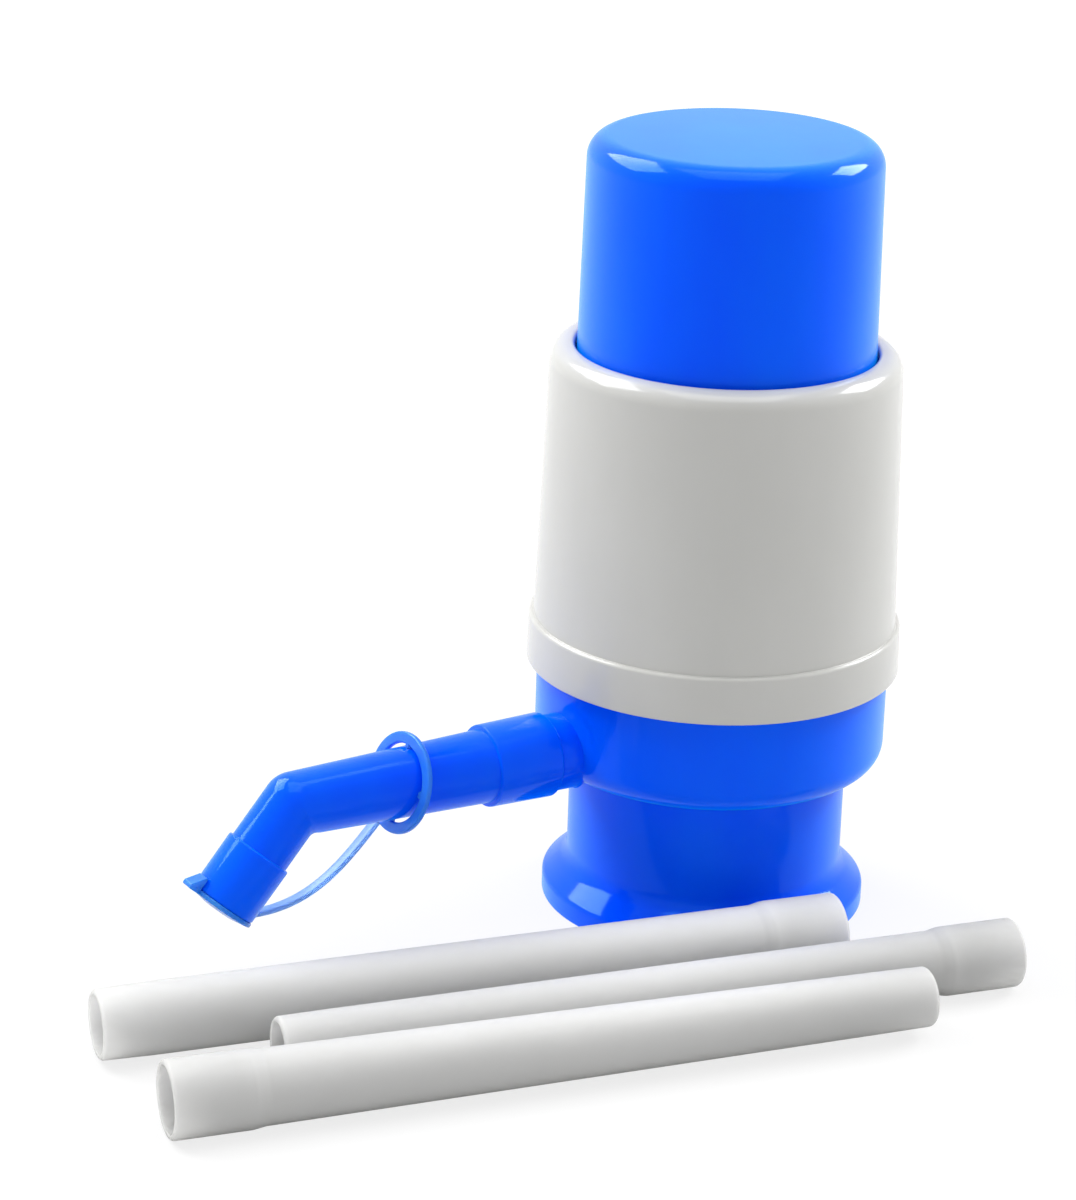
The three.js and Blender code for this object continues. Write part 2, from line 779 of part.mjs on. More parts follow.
// Nozzle lid with a hollow plug and a pull tab, about the nozzle's X axis
function makeNozzleCap() {
  const lidUnder = nozzleLength + seatGap;
  const lidTop = lidUnder + lidThickness;
  const plugRadius = nozzleBore - seatGap;
  const plugEnd = nozzleLength - plugLength;
  const lid = alongX(
    revolve(
      [
        [0, lidTop],
        [lidRadius, lidTop],
        [lidRadius, lidUnder],
        [plugRadius, lidUnder],
        [plugRadius, plugEnd],
        [plugRadius - plugWall, plugEnd],
        [plugRadius - plugWall, lidUnder],
        [0, lidUnder],
      ],
      midSides,
    ),
  );
  const tabStart = lidRadius - lidThickness;
  const outline = new THREE.Shape();
  outline.moveTo(tabStart, -tabWidth / 2);
  outline.lineTo(lidRadius + tabReach - tabWidth / 2, -tabWidth / 2);
  outline.absarc(lidRadius + tabReach - tabWidth / 2, 0, tabWidth / 2, -Math.PI / 2, Math.PI / 2);
  outline.lineTo(tabStart, tabWidth / 2);
  outline.closePath();
  const tab = new THREE.ExtrudeGeometry(outline, {
    depth: lidThickness,
    bevelEnabled: false,
    curveSegments: arcSteps,
  });
  tab.rotateY(-Math.PI / 2).translate(lidTop, 0, 0);
  return piece("nozzle_cap", shaped([lid, tab]), paleBluePlastic);
}

// Suction tube from its spigot at zero to its socket, about X
function makeTube(name, sizes) {
  const stepFoot = tubeLength - tubeSocketEnd - tubeStepLength;
  const bore = sizes.spigot - tubeWall;
  const outline = [
    [bore, 0],
    ...arc(sizes.tip - tubeRound / 2, tubeRound / 2, tubeRound / 2, -90, 0, cornerSteps),
    [sizes.spigot, tipLength],
    [sizes.body, stepFoot],
    [sizes.socket, tubeLength - tubeSocketEnd],
    ...arc(sizes.socket - tubeRound / 2, tubeLength - tubeRound / 2, tubeRound / 2, 0, 90, cornerSteps),
    [sizes.bore, tubeLength],
    [sizes.bore, tubeLength - tubeSocketInset],
    [bore, tubeLength - tubeSocketInset],
  ];
  return piece(name, alongX(revolve(outline, slimSides)), tubePlastic);
}

// Puts the pump together about its own axis, and lays the tubes in front of it
const set = new THREE.Group();
const dishUnder = crownTop - crownDishDepth - crownThickness;
set.add(
  makeLockCollar(),
  makeNeckSleeve(),
  makeNeckGasket(),
  makeBaseBody(),
  makeValvePlate(),
  makePlateSeal(),
  makeValve("outlet_valve", plateUnder, plateThickness),
  makeBellows(),
  makeBellowsRing(),
  makeReturnSpring(),
  makeValve("inlet_valve", dishUnder, crownThickness),
  makeHousing(),
  makePressCap(),
);

const spoutGroup = new THREE.Group();
spoutGroup.applyMatrix4(spoutFrame);
const nozzleGroup = new THREE.Group();
nozzleGroup.position.x = bendReach;
nozzleGroup.rotation.y = radians(nozzleTurn);
nozzleGroup.add(makeNozzleCap());
spoutGroup.add(makeSpout(), makeSpoutSeal(), makeStrapRing(), makeCapStrap(), nozzleGroup);
set.add(spoutGroup);

const upper = makeTube("tube_upper", upperTube);
upper.position.set(upperTube.start, -(footRadius + tubeFlangeGap + upperTube.socket), upperTube.socket);
const middle = makeTube("tube_middle", middleTube);
middle.position.set(middleTube.start, upper.position.y - middleTubeSpacing, middleTube.socket);
const lower = makeTube("tube_lower", lowerTube);
lower.rotation.z = Math.PI;
lower.position.set(lowerTube.start + tubeLength, middle.position.y - lowerTubeSpacing, lowerTube.socket);
set.add(upper, middle, lower);

// Stands the set on the floor with the origin under its middle
set.updateMatrixWorld(true);
const around = new THREE.Box3().setFromObject(set);
const middlePoint = around.getCenter(new THREE.Vector3());
set.position.set(-middlePoint.x, -middlePoint.y, -around.min.z);

const pump = new THREE.Group();
pump.add(set);

export default pump;
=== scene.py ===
# Water jug hand pump with its three loose suction tubes, on a pale studio floor
import json
import math
import bmesh
import bpy
from mathutils import Matrix, Vector


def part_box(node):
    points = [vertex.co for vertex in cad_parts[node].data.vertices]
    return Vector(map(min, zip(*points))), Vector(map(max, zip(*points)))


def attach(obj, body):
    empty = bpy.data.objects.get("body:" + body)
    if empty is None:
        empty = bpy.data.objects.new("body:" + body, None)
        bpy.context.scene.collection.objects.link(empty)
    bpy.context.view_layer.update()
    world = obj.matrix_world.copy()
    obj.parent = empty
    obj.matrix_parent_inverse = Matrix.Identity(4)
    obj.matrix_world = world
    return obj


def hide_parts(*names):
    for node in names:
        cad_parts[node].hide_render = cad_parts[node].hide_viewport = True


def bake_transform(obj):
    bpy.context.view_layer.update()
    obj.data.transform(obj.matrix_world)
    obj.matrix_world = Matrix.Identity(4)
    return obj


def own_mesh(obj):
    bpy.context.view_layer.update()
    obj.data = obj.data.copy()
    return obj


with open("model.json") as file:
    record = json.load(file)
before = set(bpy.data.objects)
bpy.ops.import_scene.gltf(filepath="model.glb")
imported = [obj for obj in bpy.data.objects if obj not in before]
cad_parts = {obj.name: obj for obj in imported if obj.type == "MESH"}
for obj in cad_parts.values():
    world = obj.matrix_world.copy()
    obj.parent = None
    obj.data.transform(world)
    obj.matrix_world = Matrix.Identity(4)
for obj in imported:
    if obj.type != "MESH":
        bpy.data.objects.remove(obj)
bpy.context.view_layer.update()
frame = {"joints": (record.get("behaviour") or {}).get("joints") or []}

metre = 0.001  # outlines and values below are in millimetres, meshes in metres
hairEdge, slightEdge, softEdge = 0.1, 0.2, 0.3  # fillets of small mouldings
tiny = 1e-6  # a radius or an edge shorter than this counts as none
weldReach = 1e-7  # points of a finished mesh that are closer than this, in metres, become one
overlap = 1.0  # how far solids that are joined run into each other
sharpAngle = math.radians(38)  # edges steeper than this stay crisp

# Where the camera stood: measured from the pump's axis on the floor
cameraValues = {
    "place": (-317.2, -740.0, 363.62),
    "heading": 69.63,  # degrees from +X
    "down": 20.076,
    "roll": 1.81,
    "lens": 114.0,
    "sensor": 36.0,
    "reach": 50,  # metres
}

# Softboxes: place from the pump's axis, size and watts, and the height on the axis they aim at
lightValues = {
    "leftBox": {"place": (-1026, 1032, 1490), "size": (1650, 1100), "watts": 49, "aim": 120},
    "rightBox": {"place": (1642, 218, 1240), "size": (1000, 800), "watts": 37, "aim": 120},
    "topBox": {"place": (-60, -200, 2000), "size": (1500, 1500), "watts": 18, "aim": 120},
    "worldStrength": 0.53,
    "floorColour": "#d2d2d2",
    "floorSeenColour": "#696969",
    "floorGlow": (0.8, 0.96),  # near the object, and from the far distance on
    "floorGlowReach": (250, 1500),
    "floorReach": 6000,
}


def joint(name):
    return next(j for j in frame["joints"] if j["name"] == name)


def middleOf(node):
    low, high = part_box(node)
    return (low + high) / 2


def millimetres(node):
    low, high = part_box(node)
    return low / metre, high / metre


def reachOf(node):
    # outer radius of a round solid, in millimetres
    low, high = millimetres(node)
    return (high.x - low.x) / 2


def axesMatrix(origin, along):
    # a frame whose X runs along a direction and whose Z stays as upright as it can
    x = Vector(along).normalized()
    y = Vector((0, 0, 1)).cross(x).normalized()
    z = x.cross(y)
    turn = Matrix((x, y, z)).transposed().to_4x4()
    return Matrix.Translation(origin) @ turn


pumpAxis = middleOf("press_cap")
pumpFrame = Matrix.Translation((pumpAxis.x, pumpAxis.y, 0))
swivel = joint("spout_swivel")
spoutFrame = axesMatrix(swivel["pos_m"], swivel["axis"])
alongX = Matrix.Rotation(math.pi / 2, 4, "Y")  # turns a shape made about Z to lie along X


# Shapes

def rounded(corners, steps=6):
    # outline of (radius, height, fillet) corners, each fillet drawn as an arc
    points = []
    count = len(corners)
    straight = math.pi / 2 - 0.01  # half the angle of a corner too flat to round
    shared = 0.98  # part of an edge that its two fillets may use up
    for i, (r, z, fillet) in enumerate(corners):
        here = Vector((r, z))
        back = Vector(corners[i - 1][:2]) - here
        ahead = Vector(corners[(i + 1) % count][:2]) - here
        if not fillet or min(back.length, ahead.length) < tiny or back.angle(ahead) / 2 > straight:
            points.append(here)
            continue
        half = back.angle(ahead) / 2
        before, after = corners[i - 1][2], corners[(i + 1) % count][2]
        room = min(back.length / (fillet + before), ahead.length / (fillet + after))
        reach = min(fillet / math.tan(half), room * fillet * shared)
        radius = reach * math.tan(half)
        toBack, toAhead = back.normalized(), ahead.normalized()
        centre = here + (toBack + toAhead).normalized() * (radius / math.sin(half))
        start = here + toBack * reach - centre
        turn = start.angle_signed(here + toAhead * reach - centre)
        for k in range(steps + 1):
            points.append(centre + Matrix.Rotation(-turn * k / steps, 2) @ start)
    return points


def rod(radius, low, high):
    # outline of a plain cylinder
    return [(0, low), (radius, low), (radius, high), (0, high)]


def block(left, right, low, high, edge, steps=6):
    # outline of a rectangle with rounded corners
    corners = ((left, low), (right, low), (right, high), (left, high))
    return rounded([(*corner, edge) for corner in corners], steps)


def newObject(name, data):
    made = bpy.data.objects.new(name, data)
    bpy.context.scene.collection.objects.link(made)
    return made


def smooth(data):
    data.polygons.foreach_set("use_smooth", [True] * len(data.polygons))
    data.set_sharp_from_angle(angle=sharpAngle)


def finish(name, mesh, material):
    # closes a bmesh into an object with outward faces and smooth shading
    bmesh.ops.remove_doubles(mesh, verts=mesh.verts, dist=weldReach)
    bmesh.ops.recalc_face_normals(mesh, faces=mesh.faces)
    data = bpy.data.meshes.new(name)
    mesh.to_mesh(data)
    mesh.free()
    smooth(data)
    if material:
        data.materials.append(material)
    return newObject(name, data)


def skin(name, rings, material, place=Matrix.Identity(4), ends="joined"):
    # a surface through rings of points, where a ring of one point is a pole: its two ends are
    # joined to each other, capped flat or left open
    mesh = bmesh.new()
    rows = [[mesh.verts.new(place @ (Vector(p) * metre)) for p in ring] for ring in rings]
    pairs = list(zip(rows, rows[1:]))
    if ends == "joined":
        pairs.append((rows[-1], rows[0]))
    for a, b in pairs:
        for k in range(max(len(a), len(b))):
            corners = [a[k % len(a)], b[k % len(b)], b[(k + 1) % len(b)], a[(k + 1) % len(a)]]
            corners = list(dict.fromkeys(corners))
            if len(corners) > 2:
                mesh.faces.new(corners)
    if ends == "capped":
        mesh.faces.new(rows[0])
        mesh.faces.new(rows[-1][::-1])
    return finish(name, mesh, material)


def circle(radius, height, sides):
    if radius < tiny:
        return [(0, 0, height)]
    turns = [2 * math.pi * k / sides for k in range(sides)]
    return [(radius * math.cos(t), radius * math.sin(t), height) for t in turns]


def lathe(name, outline, material, sides, place=pumpFrame):
    hollow = max(outline[0][0], outline[-1][0]) > tiny
    rings = [circle(p[0], p[1], sides) for p in outline]
    return skin(name, rings, material, place, "joined" if hollow else "open")


def evaluatedMesh(piece):
    # the plain mesh that a piece's modifiers make, which takes their place
    depsgraph = bpy.context.evaluated_depsgraph_get()
    data = bpy.data.meshes.new_from_object(piece.evaluated_get(depsgraph))
    piece.modifiers.clear()
    piece.data = data
    return data


def combine(piece, others, operation):
    # joins other solids to a piece, or cuts them out of it, and removes them
    for other in others:
        cut = piece.modifiers.new("cut", "BOOLEAN")
        cut.operation = operation
        cut.solver = "EXACT"
        cut.object = other
    smooth(evaluatedMesh(piece))
    for other in others:
        bpy.data.objects.remove(other)
    return piece


def fit(piece, body, slot, *nodes):
    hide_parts(*nodes)
    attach(piece, body)


# Materials

def linear(code):
    # an sRGB hex colour as linear RGBA
    parts = [int(code[i:i + 2], 16) / 255 for i in (1, 3, 5)]
    return [c / 12.92 if c <= 0.04045 else ((c + 0.055) / 1.055) ** 2.4 for c in parts] + [1.0]


def add(tree, kind, values=None, **settings):
    # adds one node with its settings, values and links: a node as a value means its first output
    node = tree.nodes.new(kind)
    for key, value in settings.items():
        setattr(node, key, value)
    for key, value in (values or {}).items():
        if isinstance(value, bpy.types.Node):
            value = value.outputs[0]
        if isinstance(value, bpy.types.NodeSocket):
            tree.links.new(value, node.inputs[key])
        else:
            node.inputs[key].default_value = value
    return node


def newMaterial(name):
    material = bpy.data.materials.new(name)
    material.use_nodes = True
    material.node_tree.nodes.clear()
    return material, material.node_tree


def perMetre(size):
    # noise scale whose features are about this many millimetres
    return 1 / (size * metre)


# what a plastic has where its own values say nothing: sizes and depths in millimetres
plainSkin = {
    "stretch": (1, 1, 1), "peelSize": 0.5, "peelDepth": 0.0015, "ior": 1.51, "glint": "#ffffff",
    "clear": 0.0, "haze": 0.0, "hazeSpread": 0.5, "hazeColour": "#ffffff",
    "film": 0.0, "filmIor": 1.06, "filmSpread": 0.5, "filmColour": "#ffffff",
    "rampEnds": (0.3, 0.7), "cloudDetail": 3.0, "patchDetail": 4.0, "peelDetail": 2.0,
    "waveDetail": 1.0,
}


def mouldedPlastic(name, own):
    # plastic with cloudy colour, patchy gloss and a fine orange peel left by the mould
    v = {**plainSkin, **own}
    material, tree = newMaterial(name)
    place = add(tree, "ShaderNodeTexCoord").outputs["Object"]
    turned = add(tree, "ShaderNodeMapping", {"Vector": place, "Scale": v["stretch"]})
    cloud, patches, peel, waves = (
        add(tree, "ShaderNodeTexNoise", {
            "Vector": space, "Scale": perMetre(v[layer + "Size"]),
            "Detail": v[layer + "Detail"]})
        for layer, space in (("cloud", turned), ("patch", place), ("peel", place),
                             ("wave", turned)))
    colour = add(tree, "ShaderNodeValToRGB", {"Fac": cloud})
    stops = colour.color_ramp.elements
    for stop, position, code in zip(stops, v["rampEnds"], ("dark", "light")):
        stop.position = position
        stop.color = linear(v[code])
    gloss = add(tree, "ShaderNodeMapRange", {
        "Value": patches,
        "To Min": v["roughness"][0], "To Max": v["roughness"][1]})
    ripple = add(tree, "ShaderNodeBump", {
        "Height": waves, "Strength": 1.0, "Distance": v["waveDepth"] * metre})
    skinBump = add(tree, "ShaderNodeBump", {
        "Height": peel, "Normal": ripple,
        "Strength": 1.0, "Distance": v["peelDepth"] * metre})
    shader = add(tree, "ShaderNodeBsdfPrincipled", {
        "Base Color": colour, "Roughness": gloss,
        "Normal": skinBump, "IOR": v["ior"],
        "Subsurface Weight": v["scatter"], "Subsurface Radius": v["scatterRadius"],
        "Subsurface Scale": v["scatterDepth"] * metre,
        "Specular Tint": linear(v["glint"]), "Transmission Weight": v["clear"],
        "Sheen Weight": v["haze"], "Sheen Roughness": v["hazeSpread"],
        "Sheen Tint": linear(v["hazeColour"]),
        "Coat Weight": v["film"], "Coat IOR": v["filmIor"],
        "Coat Roughness": v["filmSpread"], "Coat Tint": linear(v["filmColour"])})
    add(tree, "ShaderNodeOutputMaterial", {"Surface": shader})
    return material


# polished mould, blue masterbatch: deep colour, sharp reflections, and a greener blue haze where
# it is seen aslant
glossBlue = mouldedPlastic("polished blue polypropylene", {
    "dark": "#0040ff", "light": "#0052ff", "cloudSize": 26, "stretch": (1, 1, 0.35),
    "roughness": (0.07, 0.11), "patchSize": 14, "peelSize": 0.7, "peelDepth": 0.0004,
    "waveSize": 9, "waveDepth": 0.02, "ior": 1.46, "glint": "#64bcff",
    "scatter": 0.25, "scatterRadius": (0.25, 0.5, 1.0), "scatterDepth": 3.0,
    "haze": 0.78, "hazeSpread": 0.55, "hazeColour": "#00a8ff"})

# blasted mould, off-white: soft highlights and a grey tone
satinWhite = mouldedPlastic("satin off-white polypropylene", {
    "dark": "#b7b7b4", "light": "#bdbdba", "cloudSize": 30, "stretch": (1, 1, 0.4),
    "roughness": (0.13, 0.19), "patchSize": 12, "waveSize": 10, "waveDepth": 0.015, "ior": 1.49,
    "scatter": 0.15, "scatterRadius": (1.0, 0.95, 0.9), "scatterDepth": 2.0})

# extruded natural polyethylene: waxy and dull, greyer where its clear skin is seen aslant
waxySkin = {
    "dark": "#c6c6c6", "light": "#cdcdcd", "cloudSize": 20, "stretch": (0.3, 1, 1),
    "roughness": (0.5, 0.62), "patchSize": 8, "peelSize": 0.6, "peelDepth": 0.002,
    "waveSize": 7, "waveDepth": 0.02, "ior": 1.3, "film": 1.0, "filmColour": "#efefee",
    "scatter": 1.0, "scatterRadius": (1.0, 0.99, 0.98), "scatterDepth": 5.5,
}
waxyWhite = mouldedPlastic("waxy white polyethylene", waxySkin)

# the same plastic painted a little lighter: painted light that lifts the upper tube out of the
# shade that the pump and the other tubes cast on it
paintedLightTubing = mouldedPlastic("waxy white polyethylene painted lighter", {
    **waxySkin, "dark": "#d8d8d8", "light": "#dfdfdf"})

# unfilled soft polyethylene, tinted: pale where it is thin
paleBlue = mouldedPlastic("soft pale blue polyethylene", {
    "dark": "#7fb2f4", "light": "#93bff8", "cloudSize": 8, "roughness": (0.29, 0.38),
    "patchSize": 5, "peelDepth": 0.0002, "waveSize": 4, "waveDepth": 0.004,
    "glint": "#d8ecff", "clear": 0.5,
    "scatter": 0.5, "scatterRadius": (0.45, 0.7, 1.0), "scatterDepth": 3.0})

# the same polyethylene where it is thick: deeper blue, and clearer at its edges
deepBlue = mouldedPlastic("soft deep blue polyethylene", {
    "dark": "#2a82f4", "light": "#3f94fa", "cloudSize": 8, "roughness": (0.2, 0.26), "patchSize": 5,
    "waveSize": 4, "waveDepth": 0.01, "glint": "#a8d8ff", "clear": 0.35,
    "scatter": 0.5, "scatterRadius": (0.35, 0.65, 1.0), "scatterDepth": 3.0})

# blow-moulded low-density polyethylene: milky and dull
milkyWhite = mouldedPlastic("milky blown polyethylene", {
    "dark": "#dedbcf", "light": "#ebe9e0", "cloudSize": 15, "stretch": (1, 1, 0.5),
    "roughness": (0.45, 0.6), "patchSize": 9, "peelSize": 0.8, "peelDepth": 0.004,
    "waveSize": 6, "waveDepth": 0.03,
    "scatter": 0.6, "scatterRadius": (1.0, 0.95, 0.85), "scatterDepth": 4.0})

# pressed nitrile rubber: near black, with a dusty bloom
dustyRubber = mouldedPlastic("dusty nitrile rubber", {
    "dark": "#232427", "light": "#3a3b3e", "cloudSize": 6, "roughness": (0.62, 0.85),
    "patchSize": 3, "peelSize": 0.35, "peelDepth": 0.006, "waveSize": 5, "waveDepth": 0.02,
    "ior": 1.52, "scatter": 0.0, "scatterRadius": (1.0, 1.0, 1.0), "scatterDepth": 1.0})


# drawn stainless wire: bright, with a fine scratchy sheen left by the die
wireSkin = {
    "colour": "#c3c6ca", "grain": 0.4, "grainDetail": 3.0, "depth": 0.004,
    "roughness": (0.18, 0.34),
}


def makeWire(v):
    material, tree = newMaterial("drawn stainless wire")
    place = add(tree, "ShaderNodeTexCoord").outputs["Object"]
    lines = add(tree, "ShaderNodeTexNoise", {
        "Vector": place, "Scale": perMetre(v["grain"]), "Detail": v["grainDetail"]})
    gloss = add(tree, "ShaderNodeMapRange", {
        "Value": lines,
        "To Min": v["roughness"][0], "To Max": v["roughness"][1]})
    bump = add(tree, "ShaderNodeBump", {
        "Height": lines, "Distance": v["depth"] * metre})
    shader = add(tree, "ShaderNodeBsdfPrincipled", {
        "Base Color": linear(v["colour"]), "Metallic": 1.0,
        "Roughness": gloss, "Normal": bump})
    add(tree, "ShaderNodeOutputMaterial", {"Surface": shader})
    return material


brightWire = makeWire(wireSkin)
print("materials made")

# Heights that the frame fixes, in millimetres
housingLow, housingHigh = millimetres("housing")
capLow, capHigh = millimetres("press_cap")
baseLow, baseHigh = millimetres("base_body")
collarLow, collarHigh = millimetres("lock_collar")
plateLow, plateHigh = millimetres("valve_plate")
bellowsLow, bellowsHigh = millimetres("bellows")
gasketLow, gasketHigh = millimetres("neck_gasket")
sleeveLow, sleeveHigh = millimetres("neck_sleeve")
ringLow, ringHigh = millimetres("bellows_ring")

# Press cap: a drafted cup with rolled top edge, a stop flange and a ring round the bellows' crown
capValues = {
    "skirtRadius": 33.0, "topRadius": 32.25, "corner": 5.2, "wall": 1.8, "topWall": 2.2,
    "stopHeight": 2.5, "stopTop": 128.1, "crownRing": (22.2, 23.5), "crownRingDepth": 4.0,
    "edge": 0.4, "sides": 192,
}


def makePressCap(v):
    top = capHigh.z
    ceiling = top - v["topWall"]
    foot = capLow.z
    draftStart = housingHigh.z
    stop = reachOf("press_cap")
    inner, outer = v["crownRing"]
    outline = rounded([
        (v["skirtRadius"] - v["wall"], foot, v["edge"]), (v["skirtRadius"], foot, v["edge"]),
        (v["skirtRadius"], v["stopTop"] - v["stopHeight"], 0),
        (stop, v["stopTop"] - v["stopHeight"], v["edge"]), (stop, v["stopTop"], v["edge"]),
        (v["skirtRadius"], v["stopTop"], 0), (v["skirtRadius"], draftStart, 0),
        (v["topRadius"], top, v["corner"]),
        (0, top, 0), (0, ceiling, 0), (inner, ceiling, 0),
        (inner, ceiling - v["crownRingDepth"], v["edge"]),
        (outer, ceiling - v["crownRingDepth"], v["edge"]), (outer, ceiling, 0),
        (v["topRadius"] - v["wall"], ceiling, v["corner"] - v["wall"]),
        (v["skirtRadius"] - v["wall"], draftStart, 0),
    ], 14)
    first = next(i for i, p in enumerate(outline) if p[0] < tiny and p[1] < top - tiny)
    return lathe("pressCap", outline[first:] + outline[:first], glossBlue, v["sides"])


fit(makePressCap(capValues), "press", "blue_plastic", "press_cap")
print("press cap made")

# Housing: drafted shell, wider band at its foot with a rolled shoulder, rolled rim
housingValues = {
    "bandDraft": 0.3, "bandCorner": 1.3, "bandHeight": 10.7, "bandInner": 39.8, "foot": 40.8,
    "rim": 38.93, "corner": 4.2, "mouth": 33.45, "mouthCorner": 1.0, "lip": 2.5, "wall": 2.2,
    "shoulder": 66.9, "edge": 0.4, "crease": 0.3, "sides": 192,
}


def makeHousing(v):
    foot = housingLow.z
    top = housingHigh.z
    band = reachOf("housing")
    bandTop = foot + v["bandHeight"]
    outline = rounded([
        (v["bandInner"], foot, v["edge"]),
        (band, foot, v["edge"]),
        (band - v["bandDraft"], bandTop, v["bandCorner"]),
        (v["foot"], bandTop, v["crease"]),
        (v["rim"], top, v["corner"]),
        (v["mouth"], top, v["mouthCorner"]),
        (v["mouth"], top - v["lip"], v["edge"]),
        (v["rim"] - v["wall"], top - v["lip"], v["edge"]),
        (v["foot"] - v["wall"], v["shoulder"], v["edge"]),
        (v["bandInner"], v["shoulder"], v["edge"]),
    ], 12)
    return lathe("housingShell", outline, satinWhite, v["sides"])


fit(makeHousing(housingValues), "pump", "white_plastic", "housing")
print("housing made")

# Base cup with outlet stub, tube socket and air hole
baseValues = {
    "cup": 39.65, "wall": 2.25, "corner": 5.4, "bottom": 34.8, "recess": 31.9, "lip": 0.7,
    "lipRounds": (0.2, 0.3, 0.4), "lipEnd": 33.8, "floorUnder": 36.5, "floorTop": 38.7,
    "ledge": 35.4, "ledgeHeight": 2.0, "ledgeGap": 0.3, "edge": 0.35, "passage": 4.0,
    "passageWall": 1.6, "socketBore": 7.75, "socketWall": 1.5, "riser": 4.6, "shoulder": 8.6,
    "shoulderEnd": 43.9, "shoulderRound": 1.5, "flare": 0.3, "flareStart": 37.5, "stub": 6.7,
    "stubEnd": 56.0, "stubRound": 0.5, "grooveDepth": 1.4, "groove": (50.1, 52.0), "airHole": 1.6,
    "airHoleSet": 11.6, "overrun": 2.0, "wallStep": 0.8, "near": 0.01, "sides": 192,
    "stubSides": 96, "holeSides": 32,
}


def makeBaseCup(v):
    ledgeTop = plateLow.z - v["ledgeGap"]
    ledgeUnder = ledgeTop - v["ledgeHeight"]
    bore = v["cup"] - v["wall"]
    reach = v["cup"] - v["ledge"] - v["wall"]
    spoutZ = swivel["pos_m"][2] / metre
    outline = rounded([
        (0, v["floorUnder"], 0), (v["recess"], v["floorUnder"], 0),
        (v["recess"], v["lipEnd"], v["lipRounds"][0]),
        (v["recess"] + v["lip"], v["lipEnd"], v["lipRounds"][1]),
        (v["recess"] + v["lip"], v["bottom"], v["lipRounds"][2]),
        (v["cup"], v["bottom"], v["corner"]),
        (v["cup"], baseHigh.z, v["edge"]), (bore, baseHigh.z, v["edge"]), (bore, ledgeTop, 0),
        (v["ledge"], ledgeTop, v["edge"]), (v["ledge"], ledgeUnder, v["edge"]),
        (bore, ledgeUnder - reach, 0),
        (bore, v["floorTop"], v["wall"]), (0, v["floorTop"], 0),
    ], 12)
    foot = next(i for i, p in enumerate(outline) if p[0] > v["cup"] - v["near"])
    low, high = outline[foot:foot + 2]
    parts = math.ceil((high - low).length / v["wallStep"])  # short steps keep the stub's cut local
    outline[foot:foot + 1] = [low + (high - low) * k / parts for k in range(parts)]
    cup = lathe("baseCup", outline, glossBlue, v["sides"])
    sides = v["stubSides"]
    joined = v["floorTop"] - overlap
    socketRadius = v["socketBore"] + v["socketWall"]
    socket = lathe("socket", rounded([
        (0, baseLow.z, 0), (socketRadius, baseLow.z, v["edge"]), (socketRadius, joined, 0),
        (0, joined, 0)]), glossBlue, sides)
    passageRadius = v["passage"] + v["passageWall"]
    riserRadius = v["riser"] + v["passageWall"]
    riserTop = spoutZ + passageRadius
    riser = lathe("riser", rounded([
        (0, joined, 0), (riserRadius, joined, 0), (riserRadius, riserTop, v["edge"]),
        (0, riserTop, 0)]), glossBlue, sides)
    lying = spoutFrame @ alongX
    passage = lathe("passage", rod(passageRadius, 0, bore + overlap), glossBlue, sides,
                    lying)
    grooveStart, grooveEnd = v["groove"]
    bed = v["stub"] - v["grooveDepth"]
    stub = lathe("stub", rounded([
        (0, v["flareStart"], 0),
        (v["shoulder"] + v["flare"], v["flareStart"], 0),
        (v["shoulder"], v["flareStart"] + 2 * v["flare"], v["shoulderRound"]),
        (v["shoulder"], v["shoulderEnd"], v["edge"]),
        (v["stub"], v["shoulderEnd"], 0),
        (v["stub"], grooveStart, hairEdge), (bed, grooveStart, hairEdge),
        (bed, grooveEnd, hairEdge), (v["stub"], grooveEnd, hairEdge),
        (v["stub"], v["stubEnd"], v["stubRound"]), (0, v["stubEnd"], 0),
    ]), glossBlue, sides, lying)
    combine(cup, [socket, riser, passage, stub], "UNION")
    past = v["overrun"]
    under = v["floorUnder"]
    airPlace = spoutFrame @ Matrix.Translation((-v["airHoleSet"] * metre, 0, -spoutZ * metre))
    return combine(cup, [
        lathe("waterWay", rod(v["passage"], 0, v["stubEnd"] + past), None, sides, lying),
        lathe("socketHole", rod(v["socketBore"], baseLow.z - past, under), None, sides),
        lathe("riserHole", rod(v["riser"], under - past, spoutZ), None, sides),
        lathe("airHole", rod(v["airHole"], under - past, v["floorTop"] + past), None,
              v["holeSides"], airPlace),
    ], "DIFFERENCE")


fit(makeBaseCup(baseValues), "pump", "blue_plastic", "base_body")
print("base cup made")

# Lock collar: a tube with a sloping flange at its foot
collarValues = {
    "bore": 29.5, "wall": 1.9, "foot": 36.9, "footEdge": 0.5, "flangeTop": 4.65, "flangeRound": 1.8,
    "flangeRise": 9.65, "neckRound": 5.2, "edge": 0.35, "sides": 192,
}


def makeLockCollar(v):
    outer = v["bore"] + v["wall"]
    outline = rounded([
        (v["bore"], collarLow.z, v["edge"]),
        (v["foot"], collarLow.z, v["footEdge"]), (v["foot"], v["flangeTop"], v["flangeRound"]),
        (outer, v["flangeRise"], v["neckRound"]),
        (outer, collarHigh.z, v["edge"]), (v["bore"], collarHigh.z, v["edge"]),
    ], 12)
    return lathe("lockCollar", outline, glossBlue, v["sides"])


fit(makeLockCollar(collarValues), "collar", "blue_plastic", "lock_collar")
print("lock collar made")


# Geometry Nodes: copies round a circle, and a wire wound as a helix

